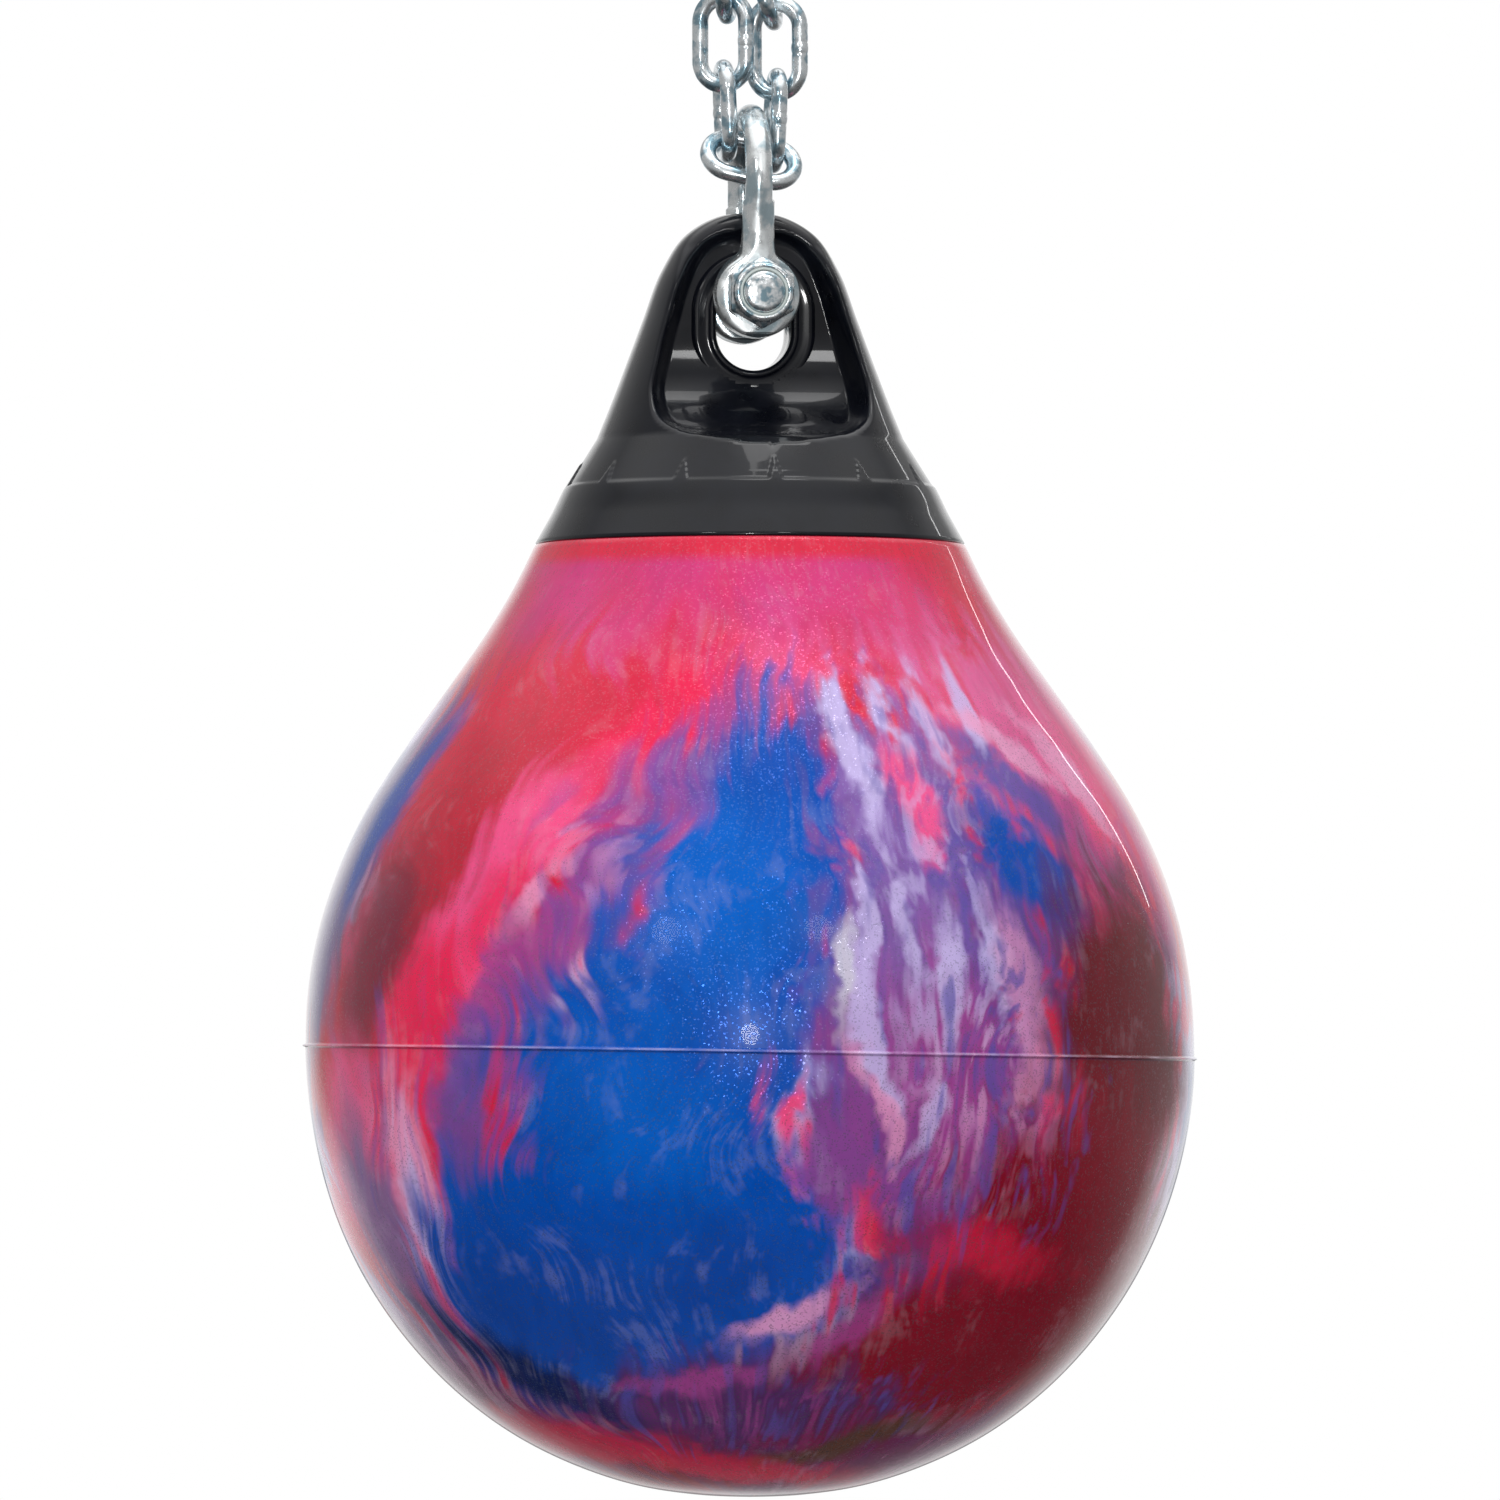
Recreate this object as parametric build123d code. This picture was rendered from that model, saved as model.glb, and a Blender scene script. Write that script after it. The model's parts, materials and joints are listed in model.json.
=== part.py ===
"""Hanging water-filled punching bag: a teardrop vinyl bag with a moulded eye cap, hung by a bolted bow
shackle and a doubled chain from a spring snap hook.

Millimetres, +Z up, X to the right and Y to the back. Every height below is measured from the bag's
widest line, where the two mould halves meet. The parts are lifted into the shared frame when they are
written, so that the origin is the inside of the snap hook's top bend, where the whole thing hangs.
"""
from build123d import *
from math import asin, atan2, cos, degrees, hypot, radians, sin, sqrt
import os

os.makedirs("parts", exist_ok=True)

# ---------------------------------------------------------------- bag
BAG_RADIUS = 190.7
BAG_BOTTOM = -191.1
SHELL_WALL = 4.5
SEAM_RADIUS = BAG_RADIUS + 1.5          # thin ridge left by the mould's parting line
SEAM_THICKNESS = 1.4
SEAM_TILT = 0.9                         # degrees; the ridge runs down a little to the right
WATER_GAP = 0.4                         # between the water and the inside of the wall
WATER_LEVEL = 205.0

# ---------------------------------------------------------------- eye cap
CAP_EDGE = 217.8                        # lower edge of the cap's skirt
CAP_EDGE_RADIUS = 92.2
CAP_LINE = 242.7                        # moulded line around the skirt
CAP_LINE_RADIUS = 78.6
CAP_LINE_STEP = 0.6
CAP_SHOULDER = 262.9                    # where the skirt turns into the steep eye part
CAP_SHOULDER_RADIUS = 65.9
CAP_TOP = 360.8
SKIRT_WALL = 4.1
NECK_TOP = 254.0                        # top of the shell's closed neck inside the cap
NECK_SHOULDER = 246.0
RIDGE_HALF = 16.0                       # half thickness of the cap's rim over the eye
RIDGE_DROP = 345.0                      # below this height the rim grows thicker
WEB_HALF = 10.0                         # half thickness of the plate around the eye
COLLAR_HALF = 12.8                      # half thickness of the collar around the throat
COLLAR_RADIUS = 26.5
THROAT_RADIUS = 16.1
THROAT_HIGH = 317.1                     # centres of the throat's two half circles
THROAT_LOW = 308.2
FRONT_TURN = 8.0                        # degrees; the bag and the shackle hang turned a little

# ---------------------------------------------------------------- filler valve
VALVE_HEIGHT = 231.0
VALVE_RADIUS = 84.9                     # distance of the skirt's surface from the axis there
VALVE_LEAN = 61.0                       # degrees between the valve's axis and the vertical
FLANGE_RADIUS = 14.0
FLANGE_HEIGHT = 2.5
TUBE_RADIUS = 10.0
TUBE_DEPTH = 15.0
BORE_RADIUS = 7.0
BORE_DEPTH = 12.5
PLUG_HEAD_RADIUS = 10.5
PLUG_HEAD_HEIGHT = 4.0
PLUG_LENGTH = 11.0
PLUG_SLOT = 2.0
SEAL_WIRE = 0.9
SEAL_RADIUS = 8.2

# ---------------------------------------------------------------- shackle
PIN_HEIGHT = 323.8
PIN_RADIUS = 9.0
EAR_GAP_HALF = 13.5
EAR_THICKNESS = 14.0
EAR_RADIUS = 18.5
EAR_OUTSIDE = EAR_GAP_HALF + EAR_THICKNESS
BOW_CENTRE = 373.2
BOW_RADIUS = 28.0
BOW_WIRE = 5.75
LEG_WIRE = 6.6
FLARE_WIRE = 10.0
HEX_FLATS = 27.0
HEAD_HEIGHT = 11.0
NUT_HEIGHT = 13.0
NUT_COLLAR_RADIUS = 12.75
NUT_COLLAR_HEIGHT = 4.0
INSERT_RADIUS = 10.45
INSERT_HEIGHT = 2.8
BOLT_POINT = 1.2                        # how far the bolt's end stands out of the nut

# ---------------------------------------------------------------- chain
LINK_WIRE = 3.5
LINK_WIDTH = 27.8
LINK_LENGTH = 44.6
# name: x and height of the lower end, lean and turn in degrees, difference from the usual length
CHAIN = {
    "lower_link_left": (-9.8, 385.3, -2.6, 99.0, 0.0),
    "lower_link_right": (9.8, 380.8, 2.6, 99.0, 0.9),
    "middle_link_left": (-11.5, 415.3, 0.0, -18.5, 0.0),
    "middle_link_right": (11.5, 411.7, 0.0, -18.5, 0.9),
    "upper_link_left": (-10.1, 444.9, 1.0, 81.0, 0.0),
    "upper_link_right": (10.2, 442.2, -13.0, 81.0, -0.5),
}
CROSS_LEG = 391.2                       # height of the cross link's upper leg, which the shackle hangs on
CROSS_TILT = 13.0                       # degrees; its right end is lower
CROSS_ROLL = 51.6                       # degrees; its lower leg hangs forward
CROSS_SHIFT = 2.4

# ---------------------------------------------------------------- snap hook
HOOK_WIRE = 5.0
HOOK_BEND = 20.0
HOOK_STRAIGHT = 50.0
HOOK_LOW = 487.7                        # centre of the hook's lower bend
HOOK_HIGH = HOOK_LOW + HOOK_STRAIGHT
HANG_HEIGHT = HOOK_HIGH + HOOK_BEND - HOOK_WIRE
GATE_PIVOT = HOOK_HIGH - 3.0
GATE_LATCH = HOOK_LOW + 5.0
GATE_RADIUS = 5.6
GATE_BORE = 3.3
GATE_REACH = 5.0                        # how far the gate's cheeks run past its two pins
GATE_SWING_ROOM = 2.6                   # room above them for their corners as the gate opens
TAB_HALF = 2.0                          # half thickness of the hook's flattened ends
TAB_END = 3.1                           # how far they run past their pins
TAB_GAP = 0.4
PIN_WIRE = 1.6
RUNNING = 0.05                          # clearance of pins and plungers in their holes
PLUNGER_LENGTH = 6.0
SPRING_RADIUS = 2.6
SPRING_WIRE = 0.45
SPRING_LENGTH = 17.0
SPRING_TURNS = 10

UPWARDS = (Align.CENTER, Align.CENTER, Align.MIN)


# ---------------------------------------------------------------- helpers
def write(name, shape):
    """Lift a part into the shared frame and save it under its node's name."""
    export_step(Pos(0, 0, -HANG_HEIGHT) * shape, f"parts/{name}.step")


def turned(shape):
    """Turn a part of the bag or the shackle about the vertical, as it hangs."""
    return Rot(0, 0, FRONT_TURN) * shape


def rod(start, end, radius, end_radius=None):
    """A round bar between two points, tapered where a second radius is given."""
    run = Vector(*end) - Vector(*start)
    if end_radius is None:
        bar = Cylinder(radius, run.length, align=UPWARDS)
    else:
        bar = Cone(radius, end_radius, run.length, align=UPWARDS)
    return Plane(origin=start, z_dir=run) * bar


def prism_y(face, half_depth):
    """Extrude a face drawn in the XZ plane to both sides of it."""
    return extrude(Plane.XZ * face, amount=half_depth, both=True)


def slot_face(radius, low, high):
    """An upright slot: half circles around two heights, joined."""
    straight = Pos(0, (low + high) / 2) * Rectangle(2 * radius, high - low)
    return Pos(0, low) * Circle(radius) + Pos(0, high) * Circle(radius) + straight


def hexagon_bar(flats, start, length):
    """A hexagonal bar along +Y with two flats upright."""
    face = RegularPolygon(flats / 2, 6, major_radius=False)
    return extrude(Plane(origin=(0, start, PIN_HEIGHT), z_dir=(0, 1, 0)) * face, amount=length)


# ---------------------------------------------------------------- bag
def teardrop(inset, top):
    """Half of the teardrop's section, moved inwards by a wall, with a line drawn across its top."""
    outline = [
        (0, BAG_BOTTOM), (48.5, -186.0), (100.9, -164.5), (149.0, -121.5), (178.0, -70.0), (BAG_RADIUS, 0),
        (185.5, 50.3), (164.7, 103.9), (128.6, 157.6), (100.7, 200.6), (CAP_EDGE_RADIUS, CAP_EDGE),
    ]
    moved = [(0, BAG_BOTTOM + inset)]
    for before, point, after in zip(outline, outline[1:], outline[2:]):
        run, rise = after[0] - before[0], after[1] - before[1]
        size = hypot(run, rise)
        moved.append((point[0] - inset * rise / size, point[1] + inset * run / size))
    end_run, end_rise = -0.45, 0.89
    moved.append((outline[-1][0] - inset * end_rise, outline[-1][1] + inset * end_run))
    curve = Spline(moved, tangents=[(1, 0), (end_run, end_rise)])
    return curve + Polyline(moved[-1], *top)


def neck_line(inset):
    """The closed neck above the teardrop, which the cap is moulded over."""
    edge = CAP_EDGE_RADIUS - SKIRT_WALL - 0.1 - inset
    shoulder = edge - 0.6 * (NECK_SHOULDER - CAP_EDGE)
    start = (edge, CAP_EDGE - 0.5 * inset)
    bend, crown = (shoulder, NECK_SHOULDER - inset), (0, NECK_TOP - inset)
    return start, bend, crown


def solid_of_revolution(inset):
    """The teardrop with its neck, moved inwards by a wall."""
    start, bend, crown = neck_line(inset)
    roof = TangentArc(crown, bend, tangent=(1, 0))
    outline = teardrop(inset, [start, bend]) + roof + Line(crown, (0, BAG_BOTTOM + inset))
    return revolve(Plane.XZ * make_face(outline), Axis.Z)


def valve_frame():
    """The valve's place on the back of the skirt, with +Z out of the bag."""
    lean = radians(VALVE_LEAN)
    return Plane(origin=(0, VALVE_RADIUS, VALVE_HEIGHT), x_dir=(1, 0, 0), z_dir=(0, sin(lean), cos(lean)))


def valve_disc(radius, low, high):
    """A round disc on the valve's axis between two heights above the skirt's surface."""
    return valve_frame() * Pos(0, 0, low) * Cylinder(radius, high - low, align=UPWARDS)


def bag_shell():
    """The rotomoulded shell, closed at the neck, with the parting-line ridge around its waist."""
    ridge = Cylinder(SEAM_RADIUS, SEAM_THICKNESS) - Cylinder(BAG_RADIUS - 0.6 * SHELL_WALL, SEAM_THICKNESS)
    shell = solid_of_revolution(0) - solid_of_revolution(SHELL_WALL)
    shell += Rot(0, SEAM_TILT, 0) * ridge
    return shell - valve_disc(TUBE_RADIUS, -2 * TUBE_DEPTH, TUBE_DEPTH)


def water_fill():
    """The water that gives the bag its weight, with a little air left above it."""
    water = solid_of_revolution(SHELL_WALL + WATER_GAP)
    air = Pos(0, 0, WATER_LEVEL) * Cylinder(BAG_RADIUS, BAG_RADIUS, align=UPWARDS)
    return water - air - valve_disc(TUBE_RADIUS + 1, -TUBE_DEPTH - 1, TUBE_DEPTH)


# ---------------------------------------------------------------- eye cap
def cap_outside():
    """The cap's outer form: a cone with a domed top, thinned towards the top from front and back."""
    rise = Spline(
        [
            (CAP_SHOULDER_RADIUS, CAP_SHOULDER), (53.7, 293.8), (46.0, 314.4),
            (38.2, 335.0), (27.9, 350.5), (0, CAP_TOP),
        ],
        tangents=[(-0.4, 1), (-1, 0)],
    )
    skirt = Polyline(
        (0, CAP_EDGE), (CAP_EDGE_RADIUS, CAP_EDGE), (CAP_LINE_RADIUS, CAP_LINE),
        (CAP_LINE_RADIUS - CAP_LINE_STEP, CAP_LINE), (CAP_SHOULDER_RADIUS, CAP_SHOULDER),
    )
    body = revolve(Plane.XZ * make_face(skirt + rise + Line((0, CAP_TOP), (0, CAP_EDGE))), Axis.Z)
    side = Polygon(
        (-RIDGE_HALF, CAP_TOP + 1), (-RIDGE_HALF, RIDGE_DROP), (-CAP_SHOULDER_RADIUS, CAP_SHOULDER),
        (-CAP_EDGE_RADIUS, CAP_EDGE - 1), (CAP_EDGE_RADIUS, CAP_EDGE - 1),
        (CAP_SHOULDER_RADIUS, CAP_SHOULDER), (RIDGE_HALF, RIDGE_DROP), (RIDGE_HALF, CAP_TOP + 1),
        align=None,
    )
    return body & extrude(Plane.YZ * side, amount=CAP_EDGE_RADIUS, both=True)


def cap_pocket():
    """The bowl pressed into the front and the back of the cap, down to the plate around the eye."""
    window = make_face(
        Spline(
            [(0, 352.2), (26.0, 341.0), (37.5, 312.0), (44.7, 281.0), (36.0, 263.5), (0, 259.0)],
            tangents=[(1, 0), (-1, 0)],
        )
        + Line((0, 259.0), (0, 352.2))
    )
    window += mirror(window, Plane.YZ)
    depth = CAP_EDGE_RADIUS
    floor = [(WEB_HALF, 300.0), (16.0, 281.0), (34.0, 268.0), (60.0, 262.0)]
    bowl = make_face(
        Spline(floor, tangents=[(0, -1), (1, -0.1)])
        + Polyline((60.0, 262.0), (depth, 258.0), (depth, CAP_TOP), (WEB_HALF, CAP_TOP), (WEB_HALF, 300.0))
    )
    front = extrude(Plane.YZ * bowl, amount=depth, both=True) & prism_y(window, depth)
    return front + mirror(front, Plane.XZ)


def eye_cap():
    """The moulded cap: skirt over the neck, eye plate, collar around the throat."""
    cap = cap_outside() - cap_pocket()
    cap += prism_y(slot_face(COLLAR_RADIUS, THROAT_LOW, THROAT_HIGH), COLLAR_HALF)
    cap -= prism_y(slot_face(THROAT_RADIUS, THROAT_LOW, THROAT_HIGH), CAP_EDGE_RADIUS)
    start, bend, crown = neck_line(-0.1)
    neck = Polyline((0, CAP_EDGE - 1), (start[0] + 0.6, CAP_EDGE - 1), start, bend)
    roof = TangentArc(crown, bend, tangent=(1, 0)) + Line(crown, (0, CAP_EDGE - 1))
    cap -= revolve(Plane.XZ * make_face(neck + roof), Axis.Z)
    return cap - valve_disc(TUBE_RADIUS, -TUBE_DEPTH, TUBE_DEPTH)


# ---------------------------------------------------------------- filler valve
def valve_body():
    """The flanged bush welded through the skirt and the neck, with a blind bore and a cross drilling."""
    body = valve_disc(FLANGE_RADIUS, 0.6, FLANGE_HEIGHT)
    body += valve_disc(TUBE_RADIUS - 0.1, -TUBE_DEPTH, FLANGE_HEIGHT)
    body -= valve_disc(BORE_RADIUS, FLANGE_HEIGHT - BORE_DEPTH, FLANGE_HEIGHT)
    body -= valve_disc(BORE_RADIUS / 2, -TUBE_DEPTH - 1, FLANGE_HEIGHT)
    return body - valve_seal_groove()


def valve_seal_groove():
    """The shallow ring groove that the seal sits in."""
    low, high = FLANGE_HEIGHT - SEAL_WIRE, FLANGE_HEIGHT + 1
    outside = valve_disc(SEAL_RADIUS + SEAL_WIRE + 0.1, low, high)
    return outside - valve_disc(SEAL_RADIUS - SEAL_WIRE - 0.1, low, high)


def valve_seal():
    """The rubber ring under the plug's head."""
    return valve_frame() * Pos(0, 0, FLANGE_HEIGHT + 0.05) * Torus(SEAL_RADIUS, SEAL_WIRE)


def valve_plug():
    """The slotted screw plug."""
    seat = FLANGE_HEIGHT + SEAL_WIRE + 0.1
    plug = valve_disc(PLUG_HEAD_RADIUS, seat, seat + PLUG_HEAD_HEIGHT)
    plug += valve_disc(BORE_RADIUS - RUNNING, seat - PLUG_LENGTH, seat)
    slot = Box(2 * PLUG_HEAD_RADIUS, PLUG_SLOT, PLUG_SLOT, align=(Align.CENTER, Align.CENTER, Align.MAX))
    return plug - valve_frame() * Pos(0, 0, seat + PLUG_HEAD_HEIGHT) * slot


# ---------------------------------------------------------------- shackle
def shackle_bow():
    """The forged bow: a bend over the top, two leaning legs and an eye on each."""
    ear_middle = EAR_GAP_HALF + EAR_THICKNESS / 2
    rise = BOW_CENTRE - PIN_HEIGHT
    reach = hypot(ear_middle, rise)
    lean = asin(BOW_RADIUS / reach) - atan2(ear_middle, rise)
    leg = sqrt(reach**2 - BOW_RADIUS**2)
    bend = (0, ear_middle + leg * sin(lean), PIN_HEIGHT + leg * cos(lean))
    arc = 180 + 2 * degrees(lean)
    section = Plane(origin=bend, x_dir=(1, 0, 0), z_dir=(0, sin(lean), cos(lean))) * Circle(BOW_WIRE)
    bow = revolve(section, Axis((0, 0, BOW_CENTRE), (1, 0, 0)), arc)
    hole = rod((0, -EAR_OUTSIDE, PIN_HEIGHT), (0, EAR_OUTSIDE, PIN_HEIGHT), PIN_RADIUS + RUNNING)
    for side in (-1, 1):
        foot = (0, side * ear_middle, PIN_HEIGHT)
        knee = (0, side * (ear_middle + 0.65 * leg * sin(lean)), PIN_HEIGHT + 0.65 * leg * cos(lean))
        bow += rod(foot, (0, side * bend[1], bend[2]), LEG_WIRE, BOW_WIRE)
        bow += rod((0, side * ear_middle, PIN_HEIGHT + 0.5 * EAR_RADIUS), knee, FLARE_WIRE, LEG_WIRE - 1)
        ear = rod((0, side * EAR_GAP_HALF, PIN_HEIGHT), (0, side * EAR_OUTSIDE, PIN_HEIGHT), EAR_RADIUS)
        bow += ear
        gap = Box(2 * EAR_RADIUS, EAR_GAP_HALF, 2 * EAR_RADIUS)
        bow -= Pos(0, side * EAR_GAP_HALF / 2, PIN_HEIGHT) * gap
        bow -= Pos(0, side * (EAR_OUTSIDE + EAR_GAP_HALF / 2), PIN_HEIGHT) * gap
    return bow - hole


def shackle_bolt():
    """The bolt through both ears and the eye, its head at the back."""
    end = -(EAR_OUTSIDE + NUT_HEIGHT + NUT_COLLAR_HEIGHT + BOLT_POINT)
    shank = rod((0, end, PIN_HEIGHT), (0, EAR_OUTSIDE, PIN_HEIGHT), PIN_RADIUS)
    return shank + hexagon_bar(HEX_FLATS, EAR_OUTSIDE, HEAD_HEIGHT)


def shackle_nut():
    """The self-locking nut: a hexagon with a round collar that holds the nylon ring."""
    face = -(EAR_OUTSIDE + NUT_HEIGHT)
    nut = hexagon_bar(HEX_FLATS, face, NUT_HEIGHT)
    nut += rod((0, face, PIN_HEIGHT), (0, face - NUT_COLLAR_HEIGHT, PIN_HEIGHT), NUT_COLLAR_RADIUS)
    nut -= rod((0, face - NUT_COLLAR_HEIGHT - 1, PIN_HEIGHT), (0, -EAR_OUTSIDE, PIN_HEIGHT), PIN_RADIUS)
    recess = face - NUT_COLLAR_HEIGHT + INSERT_HEIGHT
    return nut - rod((0, face - NUT_COLLAR_HEIGHT - 1, PIN_HEIGHT), (0, recess, PIN_HEIGHT), INSERT_RADIUS)


def nut_insert():
    """The nylon ring in the nut's collar."""
    outer = -(EAR_OUTSIDE + NUT_HEIGHT + NUT_COLLAR_HEIGHT)
    ring = rod((0, outer, PIN_HEIGHT), (0, outer + INSERT_HEIGHT, PIN_HEIGHT), INSERT_RADIUS)
    return ring - rod((0, outer, PIN_HEIGHT), (0, outer + INSERT_HEIGHT, PIN_HEIGHT), PIN_RADIUS)


# ---------------------------------------------------------------- chain
def link(length):
    """One welded link, upright in the XZ plane around the origin."""
    bend = LINK_WIDTH / 2 - LINK_WIRE
    straight = length - LINK_WIDTH
    half_ring = revolve(Pos(bend, 0, 0) * Plane.XY * Circle(LINK_WIRE), Axis((0, 0, 0), (0, -1, 0)), 180)
    ring = Pos(0, 0, straight / 2) * half_ring
    ring += Pos(0, 0, -straight / 2) * Rot(0, 180, 0) * half_ring
    for side in (-1, 1):
        ring += rod((side * bend, 0, -straight / 2), (side * bend, 0, straight / 2), LINK_WIRE)
    return ring


def strand_link(across, height, lean, turn, extra):
    """A link of one of the two strands, placed by its lower end."""
    length = LINK_LENGTH + extra
    upright = Pos(0, 0, length / 2 - LINK_WIRE) * link(length)
    return Pos(across, 0, height) * Rot(0, lean, 0) * Rot(0, 0, turn) * upright


def cross_link():
    """The link under the bow, which both strands hold by its upper leg."""
    tilt, roll = radians(CROSS_TILT), radians(CROSS_ROLL)
    length_way = Vector(cos(tilt), 0, -sin(tilt))
    width_way = Vector(-sin(tilt) * sin(roll), -cos(roll), -cos(tilt) * sin(roll))
    middle = Vector(0, 0, CROSS_LEG) + width_way * (LINK_WIDTH / 2 - LINK_WIRE) + length_way * CROSS_SHIFT
    return Plane(origin=middle, x_dir=width_way, z_dir=length_way) * link(LINK_LENGTH)


# ---------------------------------------------------------------- snap hook
def hook_body():
    """The bent wire: two bends and a spine, with a flattened tongue at each end of the gate's gap."""
    bends = []
    for centre, start in ((HOOK_HIGH, 0), (HOOK_LOW, 180)):
        section = Pos(HOOK_BEND, 0, 0) * Circle(HOOK_WIRE)
        half_ring = revolve(section, Axis((0, 0, 0), (0, -1, 0)), 180)
        bends.append(Pos(0, 0, centre) * Rot(0, start, 0) * half_ring)
    body = bends[0] + bends[1] + rod((-HOOK_BEND, 0, HOOK_LOW), (-HOOK_BEND, 0, HOOK_HIGH), HOOK_WIRE)
    middle = (GATE_PIVOT + GATE_LATCH) / 2
    shoulder_high = GATE_PIVOT + GATE_REACH + GATE_SWING_ROOM
    shoulder_low = GATE_LATCH - GATE_REACH - 1
    for low, high in ((GATE_PIVOT, HOOK_HIGH), (HOOK_LOW, GATE_LATCH)):
        body += Pos(HOOK_BEND, 0, (low + high) / 2) * Box(2 * HOOK_WIRE, 2 * TAB_HALF, high - low)
    body += prism_y(Pos(HOOK_BEND, GATE_LATCH) * Circle(TAB_END), TAB_HALF)
    body += Pos(HOOK_BEND, 0, GATE_PIVOT) * Box(2 * TAB_END, 2 * TAB_HALF, 2 * TAB_END)
    flats = Pos(HOOK_BEND, 0, middle) * Box(3 * HOOK_WIRE, 4 * HOOK_WIRE, shoulder_high - shoulder_low)
    tongue = Pos(HOOK_BEND, 0, middle) * Box(4 * HOOK_WIRE, 2 * TAB_HALF, 2 * HOOK_STRAIGHT)
    body -= flats - tongue
    hole = PIN_WIRE + RUNNING
    body -= rod((HOOK_BEND, -HOOK_WIRE, GATE_PIVOT), (HOOK_BEND, HOOK_WIRE, GATE_PIVOT), hole)
    body -= rod((HOOK_BEND, -HOOK_WIRE, GATE_LATCH), (HOOK_BEND, HOOK_WIRE, GATE_LATCH), hole + 0.3)
    notch = Box(HOOK_WIRE, 4 * TAB_HALF, 2 * hole + 0.6, align=(Align.MAX, Align.CENTER, Align.CENTER))
    return body - Pos(HOOK_BEND, 0, GATE_LATCH) * notch


def hook_gate():
    """The sprung gate: a tube whose slotted ends straddle the hook's tongues."""
    low, high = GATE_LATCH - GATE_REACH, GATE_PIVOT + GATE_REACH
    gate = rod((HOOK_BEND, 0, low), (HOOK_BEND, 0, high), GATE_RADIUS)
    slot = Box(4 * GATE_RADIUS, 2 * (TAB_HALF + TAB_GAP), 2 * GATE_REACH + 4.2)
    for height in (GATE_LATCH, GATE_PIVOT):
        gate -= Pos(HOOK_BEND, 0, height) * slot
    bore_low = GATE_LATCH + GATE_REACH + 6
    gate -= rod((HOOK_BEND, 0, bore_low), (HOOK_BEND, 0, GATE_PIVOT), GATE_BORE)
    for height in (GATE_LATCH, GATE_PIVOT):
        gate -= rod((HOOK_BEND, -GATE_RADIUS, height), (HOOK_BEND, GATE_RADIUS, height), PIN_WIRE)
    return gate


def gate_pin(height):
    """A riveted pin across the gate."""
    half = sqrt(GATE_RADIUS**2 - PIN_WIRE**2)
    return rod((HOOK_BEND, -half, height), (HOOK_BEND, half, height), PIN_WIRE)


def plunger_top():
    """The height at which the plunger presses against the hook's upper tongue."""
    return GATE_PIVOT - TAB_END - 0.1


def gate_plunger():
    """The small pin that the spring presses against the tongue to close the gate."""
    top = plunger_top()
    return rod((HOOK_BEND, 0, top - PLUNGER_LENGTH), (HOOK_BEND, 0, top), GATE_BORE - RUNNING - 0.5)


def gate_spring():
    """The compression spring inside the gate."""
    top = plunger_top() - PLUNGER_LENGTH - SPRING_WIRE - 0.1
    coil = Helix(SPRING_LENGTH / SPRING_TURNS, SPRING_LENGTH, SPRING_RADIUS)
    section = Plane(origin=coil @ 0, z_dir=coil % 0) * Circle(SPRING_WIRE)
    return Pos(HOOK_BEND, 0, top - SPRING_LENGTH) * sweep(section, path=coil, is_frenet=True)


# ---------------------------------------------------------------- write every part
turned_parts = (
    bag_shell, water_fill, eye_cap, valve_body, valve_seal, valve_plug,
    shackle_bow, shackle_bolt, shackle_nut, nut_insert,
)
for make in turned_parts:
    write(make.__name__, turned(make()))

for name, place in CHAIN.items():
    write(name, strand_link(*place))
write("cross_link", cross_link())

write("hook_body", hook_body())
write("hook_gate", hook_gate())
write("gate_rivet", gate_pin(GATE_PIVOT))
write("gate_latch_pin", gate_pin(GATE_LATCH))
write("gate_plunger", gate_plunger())
write("gate_spring", gate_spring())
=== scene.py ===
"""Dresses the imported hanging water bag: marbled vinyl, a black eye cap and zinc plated hardware."""
import json
import logging
import math
from dataclasses import dataclass
from enum import Enum
from typing import Any

import bpy
import numpy as np
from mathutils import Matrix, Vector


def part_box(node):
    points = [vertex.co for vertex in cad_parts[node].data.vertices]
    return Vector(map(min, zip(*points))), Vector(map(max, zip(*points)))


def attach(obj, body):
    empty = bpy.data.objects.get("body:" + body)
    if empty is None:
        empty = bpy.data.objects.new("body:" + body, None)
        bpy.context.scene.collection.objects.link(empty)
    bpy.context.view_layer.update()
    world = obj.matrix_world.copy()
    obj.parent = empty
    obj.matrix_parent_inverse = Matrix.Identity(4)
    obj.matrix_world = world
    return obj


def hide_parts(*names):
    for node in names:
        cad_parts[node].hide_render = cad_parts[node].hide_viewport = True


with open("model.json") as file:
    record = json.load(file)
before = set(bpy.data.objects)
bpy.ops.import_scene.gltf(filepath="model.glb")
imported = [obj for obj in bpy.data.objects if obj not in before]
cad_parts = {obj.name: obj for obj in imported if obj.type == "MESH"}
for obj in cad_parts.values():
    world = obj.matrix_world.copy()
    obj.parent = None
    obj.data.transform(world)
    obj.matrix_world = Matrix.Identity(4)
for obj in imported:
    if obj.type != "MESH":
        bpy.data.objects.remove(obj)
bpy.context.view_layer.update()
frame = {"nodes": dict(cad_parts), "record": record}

LOG = logging.getLogger("hanging_bag")
MM = 0.001
BAG_DEPTH = 191.1                                 # mm from the bag's widest line down to its lowest point
SEAM_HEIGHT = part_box("bag_shell")[0].z + BAG_DEPTH * MM    # the widest line, which heights in mm start from
FRONT_TURN = math.radians(8.0)                    # the bag, its cap and the shackle hang turned a little
PIN_HEIGHT = 323.8                                # the shackle bolt's axis, mm
FULL_TURN = 2 * math.pi
WHITE = (1.0, 1.0, 1.0, 1.0)
FAR_OFF = 999.0                                   # mm, a distance at which nothing is felt
Profile = tuple[tuple[float, float], ...]


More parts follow.
